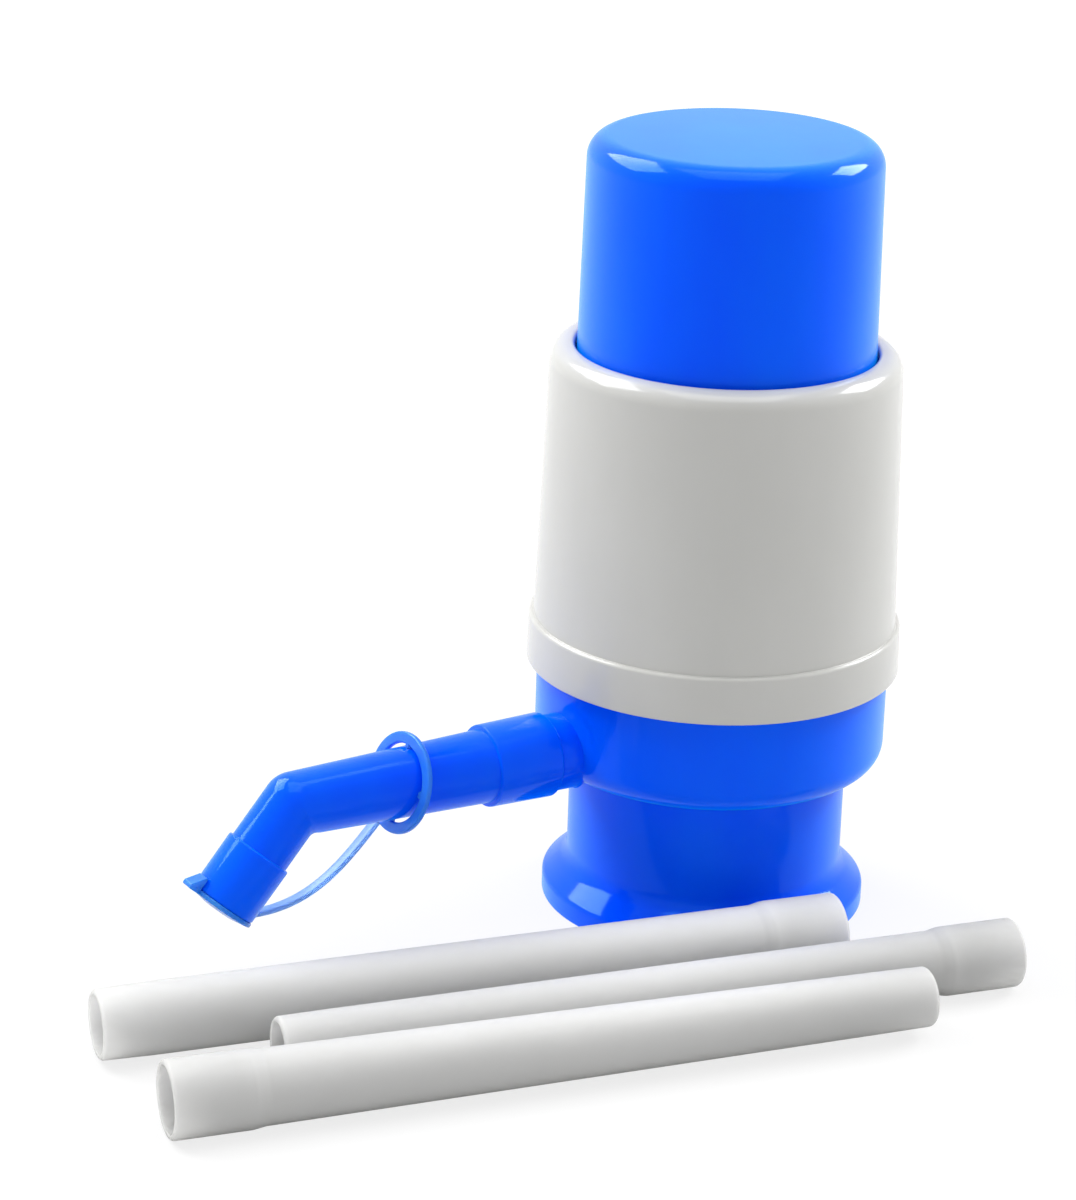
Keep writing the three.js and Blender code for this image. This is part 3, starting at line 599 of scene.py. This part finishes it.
def bakeNodes(name, tree, inputs, material):
    # runs a node tree on an empty mesh and keeps its plain result
    piece = newObject(name, bpy.data.meshes.new(name))
    modifier = piece.modifiers.new("nodes", "NODES")
    modifier.node_group = tree
    for item in tree.interface.items_tree:
        if item.item_type == "SOCKET" and item.in_out == "INPUT" and item.name in inputs:
            modifier[item.identifier] = inputs[item.name]
    mesh = bmesh.new()
    mesh.from_mesh(evaluatedMesh(piece))
    bpy.data.objects.remove(piece)
    return finish(name, mesh, material)


def newTree(name, sockets):
    tree = bpy.data.node_groups.new(name, "GeometryNodeTree")
    for label, kind in sockets + [("Material", "Material"), ("Centre", "Vector")]:
        tree.interface.new_socket(label, in_out="INPUT", socket_type="NodeSocket" + kind)
    tree.interface.new_socket("Geometry", in_out="OUTPUT", socket_type="NodeSocketGeometry")
    return tree, add(tree, "NodeGroupInput").outputs


def endTree(tree, given, geometry):
    # every tree ends so: moved to its centre, made real and painted
    placed = add(tree, "GeometryNodeTransform", {
        "Geometry": geometry, "Translation": given["Centre"]})
    real = add(tree, "GeometryNodeRealizeInstances", {"Geometry": placed})
    painted = add(tree, "GeometryNodeSetMaterial", {
        "Geometry": real, "Material": given["Material"]})
    add(tree, "NodeGroupOutput", {"Geometry": painted})
    return tree


def ringTree():
    # copies of one object round the vertical axis through a point
    tree, given = newTree("copies round a ring", [("Piece", "Object"), ("Count", "Int")])
    source = add(tree, "GeometryNodeObjectInfo", {"Object": given["Piece"]})
    line = add(tree, "GeometryNodeMeshLine", {
        "Count": given["Count"], "Offset": (0.0, 0.0, 0.0)}, mode="OFFSET")
    index = add(tree, "GeometryNodeInputIndex")
    step = add(tree, "ShaderNodeMath", {0: 2 * math.pi, 1: given["Count"]}, operation="DIVIDE")
    turn = add(tree, "ShaderNodeMath", {
        0: index, 1: step}, operation="MULTIPLY")
    angles = add(tree, "ShaderNodeCombineXYZ", {"Z": turn})
    copies = add(tree, "GeometryNodeInstanceOnPoints", {
        "Points": line, "Instance": source.outputs["Geometry"],
        "Rotation": angles})
    return endTree(tree, given, copies)


def helixTree():
    # a round wire wound about the vertical axis through a point
    tree, given = newTree("wound wire", [
        (label, "Float") for label in ("Turns", "Radius", "Height", "Wire")]
        + [("Steps", "Int"), ("Sides", "Int")])
    spiral = add(tree, "GeometryNodeCurveSpiral", {
        "Resolution": given["Steps"], "Rotations": given["Turns"], "Start Radius": given["Radius"],
        "End Radius": given["Radius"], "Height": given["Height"]})
    section = add(tree, "GeometryNodeCurvePrimitiveCircle", {
        "Resolution": given["Sides"], "Radius": given["Wire"]})
    wire = add(tree, "GeometryNodeCurveToMesh", {
        "Curve": spiral, "Profile Curve": section,
        "Fill Caps": True})
    return endTree(tree, given, wire)


copiesRound = ringTree()
woundWire = helixTree()

# Neck sleeve: a flanged ring with springy fingers that carry a grip bead
sleeveValues = {
    "bore": 27.8, "wall": 1.4, "flangeReach": 2.4, "flangeHeight": 1.8, "fingers": 12, "slot": 1.6,
    "slotStop": 8.0, "beadDepth": 0.6, "beadHeight": 8.0, "beadHalf": 1.5, "beadRounds": (1.0, 0.8),
    "edge": 0.3, "arcSteps": 14, "sides": 144,
}


def makeNeckSleeve(v):
    outer = v["bore"] + v["wall"]
    flangeTop = sleeveHigh.z
    flangeUnder = flangeTop - v["flangeHeight"]
    slotTop = flangeUnder - v["slotStop"]
    flangeReach = outer + v["flangeReach"]
    hoop = lathe("neckSleeve", rounded([
        (v["bore"], slotTop, 0), (outer, slotTop, 0), (outer, flangeUnder, 0),
        (flangeReach, flangeUnder, v["edge"]), (flangeReach, flangeTop, v["edge"]),
        (v["bore"], flangeTop, v["edge"])]), paleBlue, v["sides"])
    beadEnds, beadTop = v["beadRounds"]
    outline = rounded([
        (v["bore"], slotTop, 0),
        (v["bore"], v["beadHeight"] + v["beadHalf"], beadEnds),
        (v["bore"] - v["beadDepth"], v["beadHeight"], beadTop),
        (v["bore"], v["beadHeight"] - v["beadHalf"], beadEnds),
        (v["bore"], sleeveLow.z, v["edge"]),
        (outer, sleeveLow.z, v["edge"]),
        (outer, slotTop, 0)])
    half = math.pi / v["fingers"] - v["slot"] / 2 / outer
    turns = [half * (2 * k / v["arcSteps"] - 1) for k in range(v["arcSteps"] + 1)]
    finger = skin("finger", [
        [(r * math.cos(turn), r * math.sin(turn), z) for r, z in outline] for turn in turns],
        None, ends="capped")
    fingers = bakeNodes("fingers", copiesRound, {
        "Piece": finger, "Count": v["fingers"], "Material": paleBlue,
        "Centre": (pumpAxis.x, pumpAxis.y, 0.0)}, paleBlue)
    bpy.data.objects.remove(finger)
    mesh = bmesh.new()
    mesh.from_mesh(hoop.data)
    mesh.from_mesh(fingers.data)
    for spare in (hoop, fingers):
        bpy.data.objects.remove(spare)
    return finish("neckSleeve", mesh, paleBlue)


fit(makeNeckSleeve(sleeveValues), "pump", "pale_blue_plastic", "neck_sleeve")

# Gasket: two shallow grooves leave the sealing faces between them
gasketValues = {
    "bore": 14.5, "edge": 0.4, "grooves": (18.0, 23.0), "grooveDepth": 0.35, "grooveHalf": 0.7,
    "grooveRound": 0.5, "sides": 128,
}


def makeNeckGasket(v):
    reach = reachOf("neck_gasket")
    low, high = gasketLow.z, gasketHigh.z
    corners = [(v["bore"], low, v["edge"])]
    for groove in v["grooves"]:
        corners += [(groove - v["grooveHalf"], low, slightEdge),
                    (groove, low + v["grooveDepth"], v["grooveRound"]),
                    (groove + v["grooveHalf"], low, slightEdge)]
    corners += [(reach, low, v["edge"]), (reach, high, v["edge"]), (v["bore"], high, v["edge"])]
    return lathe("neckGasket", rounded(corners), dustyRubber, v["sides"])


fit(makeNeckGasket(gasketValues), "pump", "rubber", "neck_gasket")
print("neck sleeve and gasket made")

# Valve plate, its seal, the two umbrella valves and the bellows' holding ring
plateValues = {
    "grooveDepth": 1.9, "groove": 2.2, "ring": (14.1, 15.3), "thickness": 3.0, "edge": 0.3,
    "stemHole": 1.6, "vents": 6, "ventRadius": 1.2, "ventCircle": 4.3, "holeSides": 24,
    "sides": 144,
}
sealValues = {"wire": 0.85, "sides": 128}
holdRingValues = {"bore": 30.0, "edge": 0.3, "sides": 128}
valveValues = {
    "head": 6.5, "headHeight": 1.8, "headRound": 2.0, "lip": 0.7, "stem": 1.3, "bulb": 2.1,
    "bulbHeight": 1.8, "bulbRound": 0.6, "sides": 64,
}


def ventHoles(under, top, v):
    # cutters for the stem's hole and the vents round it
    holes = [lathe("hole", rod(v["stemHole"], under, top), None, v["holeSides"])]
    for x, y, z in circle(v["ventCircle"], 0, v["vents"]):
        place = pumpFrame @ Matrix.Translation(Vector((x, y, z)) * metre)
        holes.append(lathe("vent", rod(v["ventRadius"], under, top), None, v["holeSides"], place))
    return holes


def makeValvePlate(v):
    low = plateLow.z
    top = low + v["thickness"]
    reach = reachOf("valve_plate")
    middle = (low + top) / 2
    grooveLow, grooveHigh = middle - v["groove"] / 2, middle + v["groove"] / 2
    bed = reach - v["grooveDepth"]
    inner, outer = v["ring"]
    outline = rounded([
        (0, low, 0), (reach, low, v["edge"]), (reach, grooveLow, hairEdge),
        (bed, grooveLow, hairEdge), (bed, grooveHigh, hairEdge), (reach, grooveHigh, hairEdge),
        (reach, top, v["edge"]),
        (outer, top, slightEdge), (outer, plateHigh.z, v["edge"]), (inner, plateHigh.z, v["edge"]),
        (inner, top, slightEdge), (0, top, 0)])
    plate = lathe("valvePlate", outline, satinWhite, v["sides"])
    return combine(plate, ventHoles(low - overlap, top + overlap, v), "DIFFERENCE")


def sealRing(name, radius, middle, place, v, turns=20):
    outline = [(radius + x, middle + y) for x, y, _ in circle(v["wire"], 0, turns)]
    return lathe(name, outline, dustyRubber, v["sides"], place)


def makeValve(name, node, v):
    low, high = millimetres(node)
    headTop = low.z + v["headHeight"]
    bulbFoot = high.z - v["bulbHeight"]
    outline = rounded([
        (0, low.z, 0), (v["head"] / 2, low.z, v["headRound"]),
        (v["head"], headTop - v["lip"], softEdge), (v["head"], headTop, slightEdge),
        (v["stem"], headTop, softEdge), (v["stem"], bulbFoot, 0),
        (v["bulb"], bulbFoot, slightEdge), (v["stem"], high.z, v["bulbRound"]), (0, high.z, 0)])
    return lathe(name, outline, dustyRubber, v["sides"])


fit(makeValvePlate(plateValues), "pump", "white_plastic", "valve_plate")
sealMiddle = middleOf("plate_seal").z / metre
sealRadius = reachOf("valve_plate") - sealValues["wire"]
plateSeal = sealRing("plateSeal", sealRadius, sealMiddle, pumpFrame, sealValues)
fit(plateSeal, "pump", "rubber", "plate_seal")
for name, node, body in (
        ("outletValve", "outlet_valve", "outlet"), ("inletValve", "inlet_valve", "inlet")):
    fit(makeValve(name, node, valveValues), body, "rubber", node)
holdRing = lathe("holdRing", block(
    holdRingValues["bore"], reachOf("bellows_ring"), ringLow.z, ringHigh.z,
    holdRingValues["edge"]), satinWhite, holdRingValues["sides"])
fit(holdRing, "pump", "white_plastic", "bellows_ring")

# Bellows and return spring; the bellows' crown is carried by the press cap
bellowsValues = {
    "ridge": 28.5, "valley": 24.4, "pleats": 8, "wall": 0.9, "foot": 33.0, "footHeight": 1.2,
    "neck": 1.0, "pleatTop": 171.0, "fold": 1.2, "crown": 21.9, "crownWall": 1.6, "crownRound": 0.4,
    "dish": 12.0, "dishDepth": 5.0, "dishRounds": (0.8, 0.5), "seat": 0.03, "sides": 96,
}
springValues = {
    "turns": 8, "radius": 17.0, "wire": 0.8, "foot": 57.4, "top": 172.3, "steps": 48, "sides": 14,
}


def makeBellows(v):
    foot = bellowsLow.z
    start = foot + v["footHeight"] + v["neck"]
    pitch = (v["pleatTop"] - start) / v["pleats"]
    outside, inside = [], []
    for k in range(v["pleats"]):
        for radius, share in ((v["valley"], k), (v["ridge"], k + 0.5)):
            z = start + share * pitch
            outside.append((radius, z, v["fold"]))
            inside.append((radius - v["wall"], z, v["fold"]))
    rim, roof, neck = foot + v["footHeight"], v["pleatTop"] - v["wall"], v["crown"] - v["wall"]
    outline = rounded(
        [(v["foot"], foot, softEdge), (v["foot"], rim, softEdge), (v["valley"], rim, softEdge)]
        + outside
        + [(v["valley"], v["pleatTop"], softEdge), (neck, v["pleatTop"], softEdge),
           (neck, roof, slightEdge), (v["valley"] - v["wall"], roof, slightEdge)]
        + inside[::-1]
        + [(v["valley"] - v["wall"], foot, slightEdge)], 4)
    return lathe("bellowsBag", outline, milkyWhite, v["sides"])


def makeBellowsCrown(v):
    # the dished end that the press cap carries down with it
    foot, top = v["pleatTop"] + v["seat"], bellowsHigh.z
    dish = top - v["dishDepth"]
    under, ceiling = dish - v["crownWall"], top - v["crownWall"]
    bulge, neck = v["dish"] + v["crownWall"], v["crown"] - v["wall"]
    outside, inside = v["dishRounds"]
    outline = rounded([
        (0, under, 0), (bulge, under, outside), (bulge, ceiling, v["crownRound"]),
        (neck, ceiling, softEdge), (neck, foot, slightEdge), (v["crown"], foot, slightEdge),
        (v["crown"], top, v["crownRound"]), (v["dish"], top, inside), (v["dish"], dish, inside),
        (0, dish, 0)], 4)
    crown = lathe("bellowsCrown", outline, milkyWhite, v["sides"])
    return combine(crown, ventHoles(under - overlap, dish + overlap, plateValues), "DIFFERENCE")


bellowsBag = makeBellows(bellowsValues)
fit(bellowsBag, "pump", "bellows_plastic", "bellows")
bellowsCrown = makeBellowsCrown(bellowsValues)
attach(bellowsCrown, "press")
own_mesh(bellowsBag)

returnSpring = bakeNodes("returnSpring", woundWire, {
    "Turns": float(springValues["turns"]), "Radius": springValues["radius"] * metre,
    "Height": (springValues["top"] - springValues["foot"]) * metre,
    "Wire": springValues["wire"] * metre, "Steps": springValues["steps"],
    "Sides": springValues["sides"], "Material": brightWire,
    "Centre": (pumpAxis.x, pumpAxis.y, springValues["foot"] * metre)}, brightWire)
fit(returnSpring, "pump", "spring_steel", "return_spring")
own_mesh(returnSpring)
print("valves, bellows and spring made")

# Spout: bell over the stub, tapered tube, mitred bend with a round back, nozzle with a thicker end
spoutValues = {
    "bellStart": 44.2, "bellRoot": 9.5, "bellTip": 59.7, "bellTipRadius": 9.2, "bellBore": 6.95,
    "bellDepth": 12.1, "tubeRoot": 8.2, "tubeEnd": 7.05, "bend": 106.4, "wall": 1.7, "turn": 49.7,
    "nozzleRadius": 6.9, "nozzleLength": 26.0, "nozzleDraft": 0.1, "sleeveRadius": 7.6,
    "sleeveLength": 13.5, "sleeveStep": 0.2, "bore": 4.8, "boreTaper": 0.2, "boreLip": 1.0,
    "edge": 0.45, "crease": 0.15, "innerRound": 1.2, "bendGap": 0.4, "sides": 96, "bendSteps": 14,
}


def bentRings(before, after, bendX, turn, radiusIn, radiusOut, v):
    # rings of a tube that runs along X, bends down at bendX and runs on: before and after are
    # (distance, radius) outlines of the straights, and the bend is round outside, mitred inside
    def onward(x, up):  # a point of the second straight, x past the bend and up from its axis
        return (bendX + x * math.cos(turn) + up * math.sin(turn),
                up * math.cos(turn) - x * math.sin(turn))

    angles = [2 * math.pi * k / v["sides"] for k in range(v["sides"])]
    rings = [[(x, r * math.sin(a), r * math.cos(a)) for a in angles] for x, r in before]
    steep = math.tan(turn / 2)
    for k in range(v["bendSteps"] + 1):
        share = k / v["bendSteps"]
        lean = turn * share
        radius = radiusIn + (radiusOut - radiusIn) * share
        ring = []
        for a in angles:
            side, up = radius * math.sin(a), radius * math.cos(a)
            if up >= 0:  # back of the bend: the tube's own radius turned about the bend's centre
                ring.append((bendX + up * math.sin(lean), side, up * math.cos(lean)))
                continue
            mitre = -up * (steep + v["innerRound"] / radius)  # how far off it starts and ends
            first = Vector((bendX - mitre, up))
            corner = Vector((bendX + up * steep, up))
            second = Vector(onward(mitre, up))
            left = 1 - share
            point = first * left ** 2 + corner * 2 * share * left + second * share ** 2
            ring.append((point[0], side, point[1]))
        rings.append(ring)
    for x, r in after:
        spots = [onward(x, r * math.cos(a)) for a in angles]
        rings.append([(spot[0], r * math.sin(a), spot[1]) for spot, a in zip(spots, angles)])
    return rings


def makeSpout(v):
    turn = math.radians(v["turn"])
    root, bellTip, bend, tip = v["bellStart"], v["bellTip"], v["bend"], v["nozzleLength"]
    clear = v["tubeEnd"] * math.tan(turn / 2) + v["innerRound"] + v["bendGap"]
    slope = (v["tubeEnd"] - v["tubeRoot"]) / (bend - bellTip)
    bell = rounded([
        (root, 0, 0), (root, v["bellRoot"], v["edge"]),
        (bellTip, v["bellTipRadius"], v["edge"]), (bellTip, v["tubeRoot"], v["crease"]),
        (bend, v["tubeEnd"], 0)])
    before = [(x, r) for x, r in bell if 0 < r and x < bend - clear]
    before.append((bend - clear, v["tubeEnd"] - slope * clear))
    step = tip - v["sleeveLength"]
    end = rounded([
        (clear, v["nozzleRadius"], 0), (step, v["nozzleRadius"], v["crease"]),
        (step + v["sleeveStep"], v["sleeveRadius"], v["edge"]),
        (tip, v["sleeveRadius"] - v["nozzleDraft"], v["edge"]), (tip, v["bore"], softEdge),
        (tip - v["boreLip"], v["bore"], 0)])
    outer = bentRings(before, end, bend, turn, v["tubeEnd"], v["nozzleRadius"], v)
    boreRoot = v["tubeRoot"] - v["wall"]
    innerClear = v["bore"] * math.tan(turn / 2) + v["innerRound"] + v["bendGap"]
    bellEnd = root + v["bellDepth"]
    hollow = [(root, v["bellBore"]), (bellEnd, v["bellBore"]), (bellEnd, boreRoot),
              (bellTip, boreRoot), (bend - innerClear, v["bore"] + v["boreTaper"])]
    inner = bentRings(hollow, [(innerClear, v["bore"])], bend, turn,
                      v["bore"] + v["boreTaper"] / 2, v["bore"], v)
    return skin("spoutTube", outer + inner[::-1], glossBlue, spoutFrame)


fit(makeSpout(spoutValues), "spout", "blue_plastic", "spout")
stubSealValues = {"radius": 6.125, "wire": 0.6, "middle": 51.05, "sides": 96}
stubSeal = sealRing("stubSeal", stubSealValues["radius"], stubSealValues["middle"],
                    spoutFrame @ alongX, stubSealValues)
fit(stubSeal, "pump", "rubber", "spout_seal")
print("spout made")

# Strap ring, strap and nozzle lid: one soft moulding, pale where it is thin
ringValues = {
    "reach": 80.3, "radius": 11.25, "band": 2.6, "thickness": 1.35, "tilt": 4.0, "lean": 14.5,
    "edge": 0.5, "nubs": 4, "nub": 1.6, "nubTip": 7.75, "nubThickness": 0.92, "nubEdge": 0.25,
    "nubSteps": 3, "sides": 96,
}
# the ring's top hangs back to the pump
ringTurn = (Matrix.Rotation(math.radians(ringValues["tilt"]), 4, "Z")
            @ Matrix.Rotation(math.radians(-ringValues["lean"]), 4, "Y"))
strapValues = {
    "width": 2.6, "thickness": 1.2, "rootTurn": 26.0, "lidTurn": 25.0, "startTurn": -45.0,
    "endTurn": 8.4, "pulls": (0.34, 0.47), "steps": 48, "edge": 0.35, "gap": 0.3, "sink": 0.9,
}
lidValues = {
    "radius": 7.65, "thickness": 1.0, "dome": 0.9, "domeBend": (0.5, 0.75), "domeRound": 4.0,
    "plug": 4.5, "plugWall": 1.0, "plugRound": 0.4, "plugEnd": 21.0, "under": 26.05, "edge": 0.35,
    "tabReach": 3.0, "tabWidth": 3.2, "tabRound": 0.4, "finHeight": 3.8, "finWidth": 0.5,
    "finGap": 0.1, "sink": 0.5, "sides": 96,
}


def makeStrapRing(v):
    half = v["thickness"] / 2
    inner = v["radius"] - v["band"]
    place = spoutFrame @ Matrix.Translation((v["reach"] * metre, 0, 0)) @ ringTurn @ alongX
    hoop = lathe("strapRing", block(inner, v["radius"], -half, half, v["edge"]),
                 deepBlue, v["sides"], Matrix.Identity(4))
    nubLength = inner + overlap - v["nubTip"]
    mesh = bmesh.new()
    bmesh.ops.create_cube(mesh, size=1)
    for vert in mesh.verts:
        vert.co = Vector((v["nubTip"] + nubLength * (vert.co.x + 0.5), vert.co.y * v["nub"],
                          vert.co.z * v["thickness"] * v["nubThickness"])) * metre
    bmesh.ops.bevel(mesh, geom=list(mesh.edges), offset=v["nubEdge"] * metre,
                    segments=v["nubSteps"], affect="EDGES")
    nub = finish("nub", mesh, None)
    nubs = bakeNodes("nubs", copiesRound, {
        "Piece": nub, "Count": v["nubs"], "Material": deepBlue,
        "Centre": (0.0, 0.0, 0.0)}, deepBlue)
    bpy.data.objects.remove(nub)
    combine(hoop, [nubs], "UNION")
    hoop.data.transform(place)
    return hoop


def strapPath(v):
    # control points of the strap in the spout's frame, as the moulding leaves ring and lid
    def rimPoint(along, radius, degrees):
        reach = radius + v["gap"] + v["thickness"] / 2
        turn = math.radians(degrees)
        return Vector((along, -reach * math.sin(turn), -reach * math.cos(turn)))
    root = ringTurn.to_3x3() @ rimPoint(0, ringValues["radius"], v["rootTurn"])
    root += Vector((ringValues["reach"], 0, 0))
    end = Matrix.Rotation(math.radians(spoutValues["turn"]), 3, "Y") @ rimPoint(
        lidValues["under"] + lidValues["thickness"] / 2, lidValues["radius"], v["lidTurn"])
    end += Vector((spoutValues["bend"], 0, 0))
    flat = Vector((end.x - root.x, end.y - root.y, 0))
    across = flat.normalized()
    chord = (end - root).length
    up = Vector((0, 0, 1))
    leave, arrive = (across * math.cos(math.radians(v[key])) + up * math.sin(math.radians(v[key]))
                     for key in ("startTurn", "endTurn"))
    first = root + leave * v["pulls"][0] * chord
    second = end - arrive * v["pulls"][1] * chord
    return root, first, second, end, across


def makeCapStrap(v):
    root, first, second, end, across = strapPath(v)
    sideways = Vector((0, 0, 1)).cross(across)
    wide, thick = v["width"] / 2, v["thickness"] / 2
    profile = block(-wide, wide, -thick, thick, v["edge"], 3)
    rings = []
    for k in range(v["steps"] + 1):
        s = k / v["steps"]
        t = 1 - s
        spot = root * t ** 3 + first * 3 * s * t ** 2 + second * 3 * s ** 2 * t + end * s ** 3
        tangent = (first - root) * t ** 2 + (second - first) * 2 * s * t + (end - second) * s ** 2
        tangent.normalize()
        if k == 0:
            spot -= tangent * v["sink"]
        if k == v["steps"]:
            spot += tangent * v["sink"]
        normal = tangent.cross(sideways)
        rings.append([spot + sideways * a + normal * b for a, b in profile])
    first, last = ([sum(ring, Vector()) / len(ring)] for ring in (rings[0], rings[-1]))
    rings = [first] + rings + [last]
    return skin("capStrap", rings, paleBlue, spoutFrame, "open")


def makeNozzleLid(v):
    turn = Matrix.Rotation(math.radians(spoutValues["turn"]), 4, "Y")
    place = spoutFrame @ Matrix.Translation((spoutValues["bend"] * metre, 0, 0)) @ turn
    top = v["under"] + v["thickness"]
    hollow = v["plug"] - v["plugWall"]
    across, up = v["domeBend"]  # where the dome bends, as shares of its radius and height
    lid = lathe("nozzleLid", rounded([
        (0, v["under"], 0), (hollow, v["under"], softEdge), (hollow, v["plugEnd"], softEdge),
        (v["plug"], v["plugEnd"], v["plugRound"]), (v["plug"], v["under"], slightEdge),
        (v["radius"], v["under"], v["edge"]), (v["radius"], top, v["edge"]),
        (v["radius"] * across, top + v["dome"] * up, v["domeRound"]), (0, top + v["dome"], 0),
    ]), deepBlue, v["sides"], Matrix.Identity(4))
    lid.data.transform(alongX)
    side = v["radius"] + v["finGap"]
    tip = v["radius"] + v["tabReach"]
    inside = v["radius"] - v["sink"]
    shelf = v["under"] + v["finGap"]
    fin = rounded([
        (top, inside, 0), (top, tip, v["tabRound"]), (top - v["thickness"], tip, v["tabRound"]),
        (top - v["finHeight"], side + v["finWidth"], softEdge),
        (top - v["finHeight"], side, hairEdge), (shelf, side, 0), (shelf, inside, 0)], 4)
    tab = skin("tab", [[(x, side * v["tabWidth"] / 2, z) for x, z in fin] for side in (-1, 1)],
               deepBlue, ends="capped")
    combine(lid, [tab], "UNION")
    lid.data.transform(place)
    return lid


fit(makeStrapRing(ringValues), "spout", "pale_blue_plastic", "strap_ring")
fit(makeNozzleLid(lidValues), "lid", "pale_blue_plastic", "nozzle_cap")
capStrap = makeCapStrap(strapValues)
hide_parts("cap_strap")
strapEnds = strapPath(strapValues)
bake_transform(capStrap)
print("ring, strap and lid made")

# Suction tubes: plain tube with a socket at one end and a rounded spigot at the other
tubeValues = {
    # the upper tube takes the lighter copy, as painted light against the shade it lies in
    "tube_upper": {"tip": 7.45, "spigot": 7.7, "body": 7.75, "socket": 8.3, "bore": 7.15,
                   "turned": 0, "plastic": paintedLightTubing},
    "tube_middle": {"tip": 6.9, "spigot": 7.0, "body": 7.05, "socket": 7.6, "bore": 6.75,
                    "turned": 0, "plastic": waxyWhite},
    "tube_lower": {"tip": 6.45, "spigot": 6.6, "body": 7.85, "socket": 8.25, "bore": 7.0,
                   "turned": math.pi, "plastic": waxyWhite},
    "shared": {"wall": 1.4, "socketLength": 17.0, "socketInset": 15.0, "step": 2.8,
               "stepRound": 6.0, "tipLength": 12.0, "tipRound": 1.2, "boreRound": 0.4,
               "mouthRound": 0.9, "sides": 96},
}


def makeTube(node, name, v, shared):
    low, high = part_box(node)
    length = (high.x - low.x) / metre
    centre = (low + high) / 2
    bore = v["spigot"] - shared["wall"]
    stepEnd = length - shared["socketLength"]
    inset = length - shared["socketInset"]
    outline = rounded([
        (bore, 0, shared["boreRound"]), (v["tip"], 0, shared["tipRound"]),
        (v["spigot"], shared["tipLength"], 0),
        (v["body"], stepEnd - shared["step"], shared["stepRound"]),
        (v["socket"], stepEnd, shared["stepRound"]), (v["socket"], length, shared["mouthRound"]),
        (v["bore"], length, softEdge), (v["bore"], inset, 0), (bore, inset, 0)], 8)
    start = high.x if v["turned"] else low.x
    turn = Matrix.Rotation(v["turned"], 4, "Z")
    place = Matrix.Translation((start, centre.y, centre.z)) @ turn @ alongX
    return lathe(name, outline, v["plastic"], shared["sides"], place)


for node, name, body in (
        ("tube_upper", "upperTube", "upper_tube"), ("tube_middle", "middleTube", "middle_tube"),
        ("tube_lower", "lowerTube", "lower_tube")):
    fit(makeTube(node, name, tubeValues[node], tubeValues["shared"]), body, "tube_plastic", node)
print("tubes made")


# Studio: floor, softboxes, world and camera

def seenRays(tree):
    # 1 for rays that show the background: from the camera, mirrored or through a clear part
    path = add(tree, "ShaderNodeLightPath").outputs
    seen = path["Is Camera Ray"]
    for kind in ("Is Glossy Ray", "Is Transmission Ray"):
        seen = add(tree, "ShaderNodeMath", {0: seen, 1: path[kind]}, operation="MAXIMUM")
    return seen


def makeFloor(v):
    mesh = bmesh.new()
    bmesh.ops.create_grid(mesh, x_segments=1, y_segments=1, size=v["floorReach"] * metre)
    material, tree = newMaterial("matt studio floor")
    seen = seenRays(tree)
    place = add(tree, "ShaderNodeTexCoord").outputs["Object"]
    far = add(tree, "ShaderNodeVectorMath", {0: place}, operation="LENGTH")
    near, reach = (side * metre for side in v["floorGlowReach"])
    glow = add(tree, "ShaderNodeMapRange", {
        "Value": far.outputs["Value"], "From Min": near, "From Max": reach,
        "To Min": v["floorGlow"][0], "To Max": v["floorGlow"][1]})
    plain = add(tree, "ShaderNodeBsdfDiffuse", {"Color": linear(v["floorColour"])})
    matt = add(tree, "ShaderNodeBsdfDiffuse", {"Color": linear(v["floorSeenColour"])})
    light = add(tree, "ShaderNodeEmission", {"Strength": glow})
    bright = add(tree, "ShaderNodeAddShader", {0: matt, 1: light})
    both = add(tree, "ShaderNodeMixShader", {
        "Fac": seen, 1: plain, 2: bright})
    add(tree, "ShaderNodeOutputMaterial", {"Surface": both})
    return finish("studioFloor", mesh, material)


def makeWorld(v):
    world = bpy.data.worlds.new("studio")
    bpy.context.scene.world = world
    world.use_nodes = True
    tree = world.node_tree
    tree.nodes.clear()
    dim, white = (
        add(tree, "ShaderNodeBackground", {"Color": linear("#ffffff"), "Strength": strength})
        for strength in (v["worldStrength"], 1.0))
    mixed = add(tree, "ShaderNodeMixShader", {
        "Fac": seenRays(tree), 1: dim, 2: white})
    add(tree, "ShaderNodeOutputWorld", {"Surface": mixed})


def makeSoftbox(name, v):
    data = bpy.data.lights.new(name, "AREA")
    data.shape = "RECTANGLE"
    data.size, data.size_y = (side * metre for side in v["size"])
    data.energy = v["watts"]
    lamp = newObject(name, data)
    lamp.location = pumpFrame @ (Vector(v["place"]) * metre)
    target = pumpFrame @ (Vector((0, 0, v["aim"])) * metre)
    lamp.rotation_euler = (target - lamp.location).to_track_quat("-Z", "Y").to_euler()


def makeCamera(v):
    heading, down, roll = (math.radians(v[key]) for key in ("heading", "down", "roll"))
    level = Vector((math.sin(heading), -math.cos(heading), 0))
    ahead = Vector((math.cos(heading) * math.cos(down), math.sin(heading) * math.cos(down),
                    -math.sin(down)))
    upright = level.cross(ahead)
    right = level * math.cos(roll) + upright * math.sin(roll)
    up = right.cross(ahead)
    data = bpy.data.cameras.new("photoCamera")
    data.lens = v["lens"]
    data.sensor_width = v["sensor"]
    data.clip_end = v["reach"]
    camera = newObject("photoCamera", data)
    turn = Matrix((right, up, -ahead)).transposed().to_4x4()
    camera.matrix_world = Matrix.Translation(pumpFrame @ (Vector(v["place"]) * metre)) @ turn
    bpy.context.scene.camera = camera


floor = makeFloor(lightValues)
makeWorld(lightValues)
for name in ("leftBox", "rightBox", "topBox"):
    makeSoftbox(name, lightValues[name])
makeCamera(cameraValues)
bpy.context.scene.view_settings.view_transform = "Standard"
print("studio made")
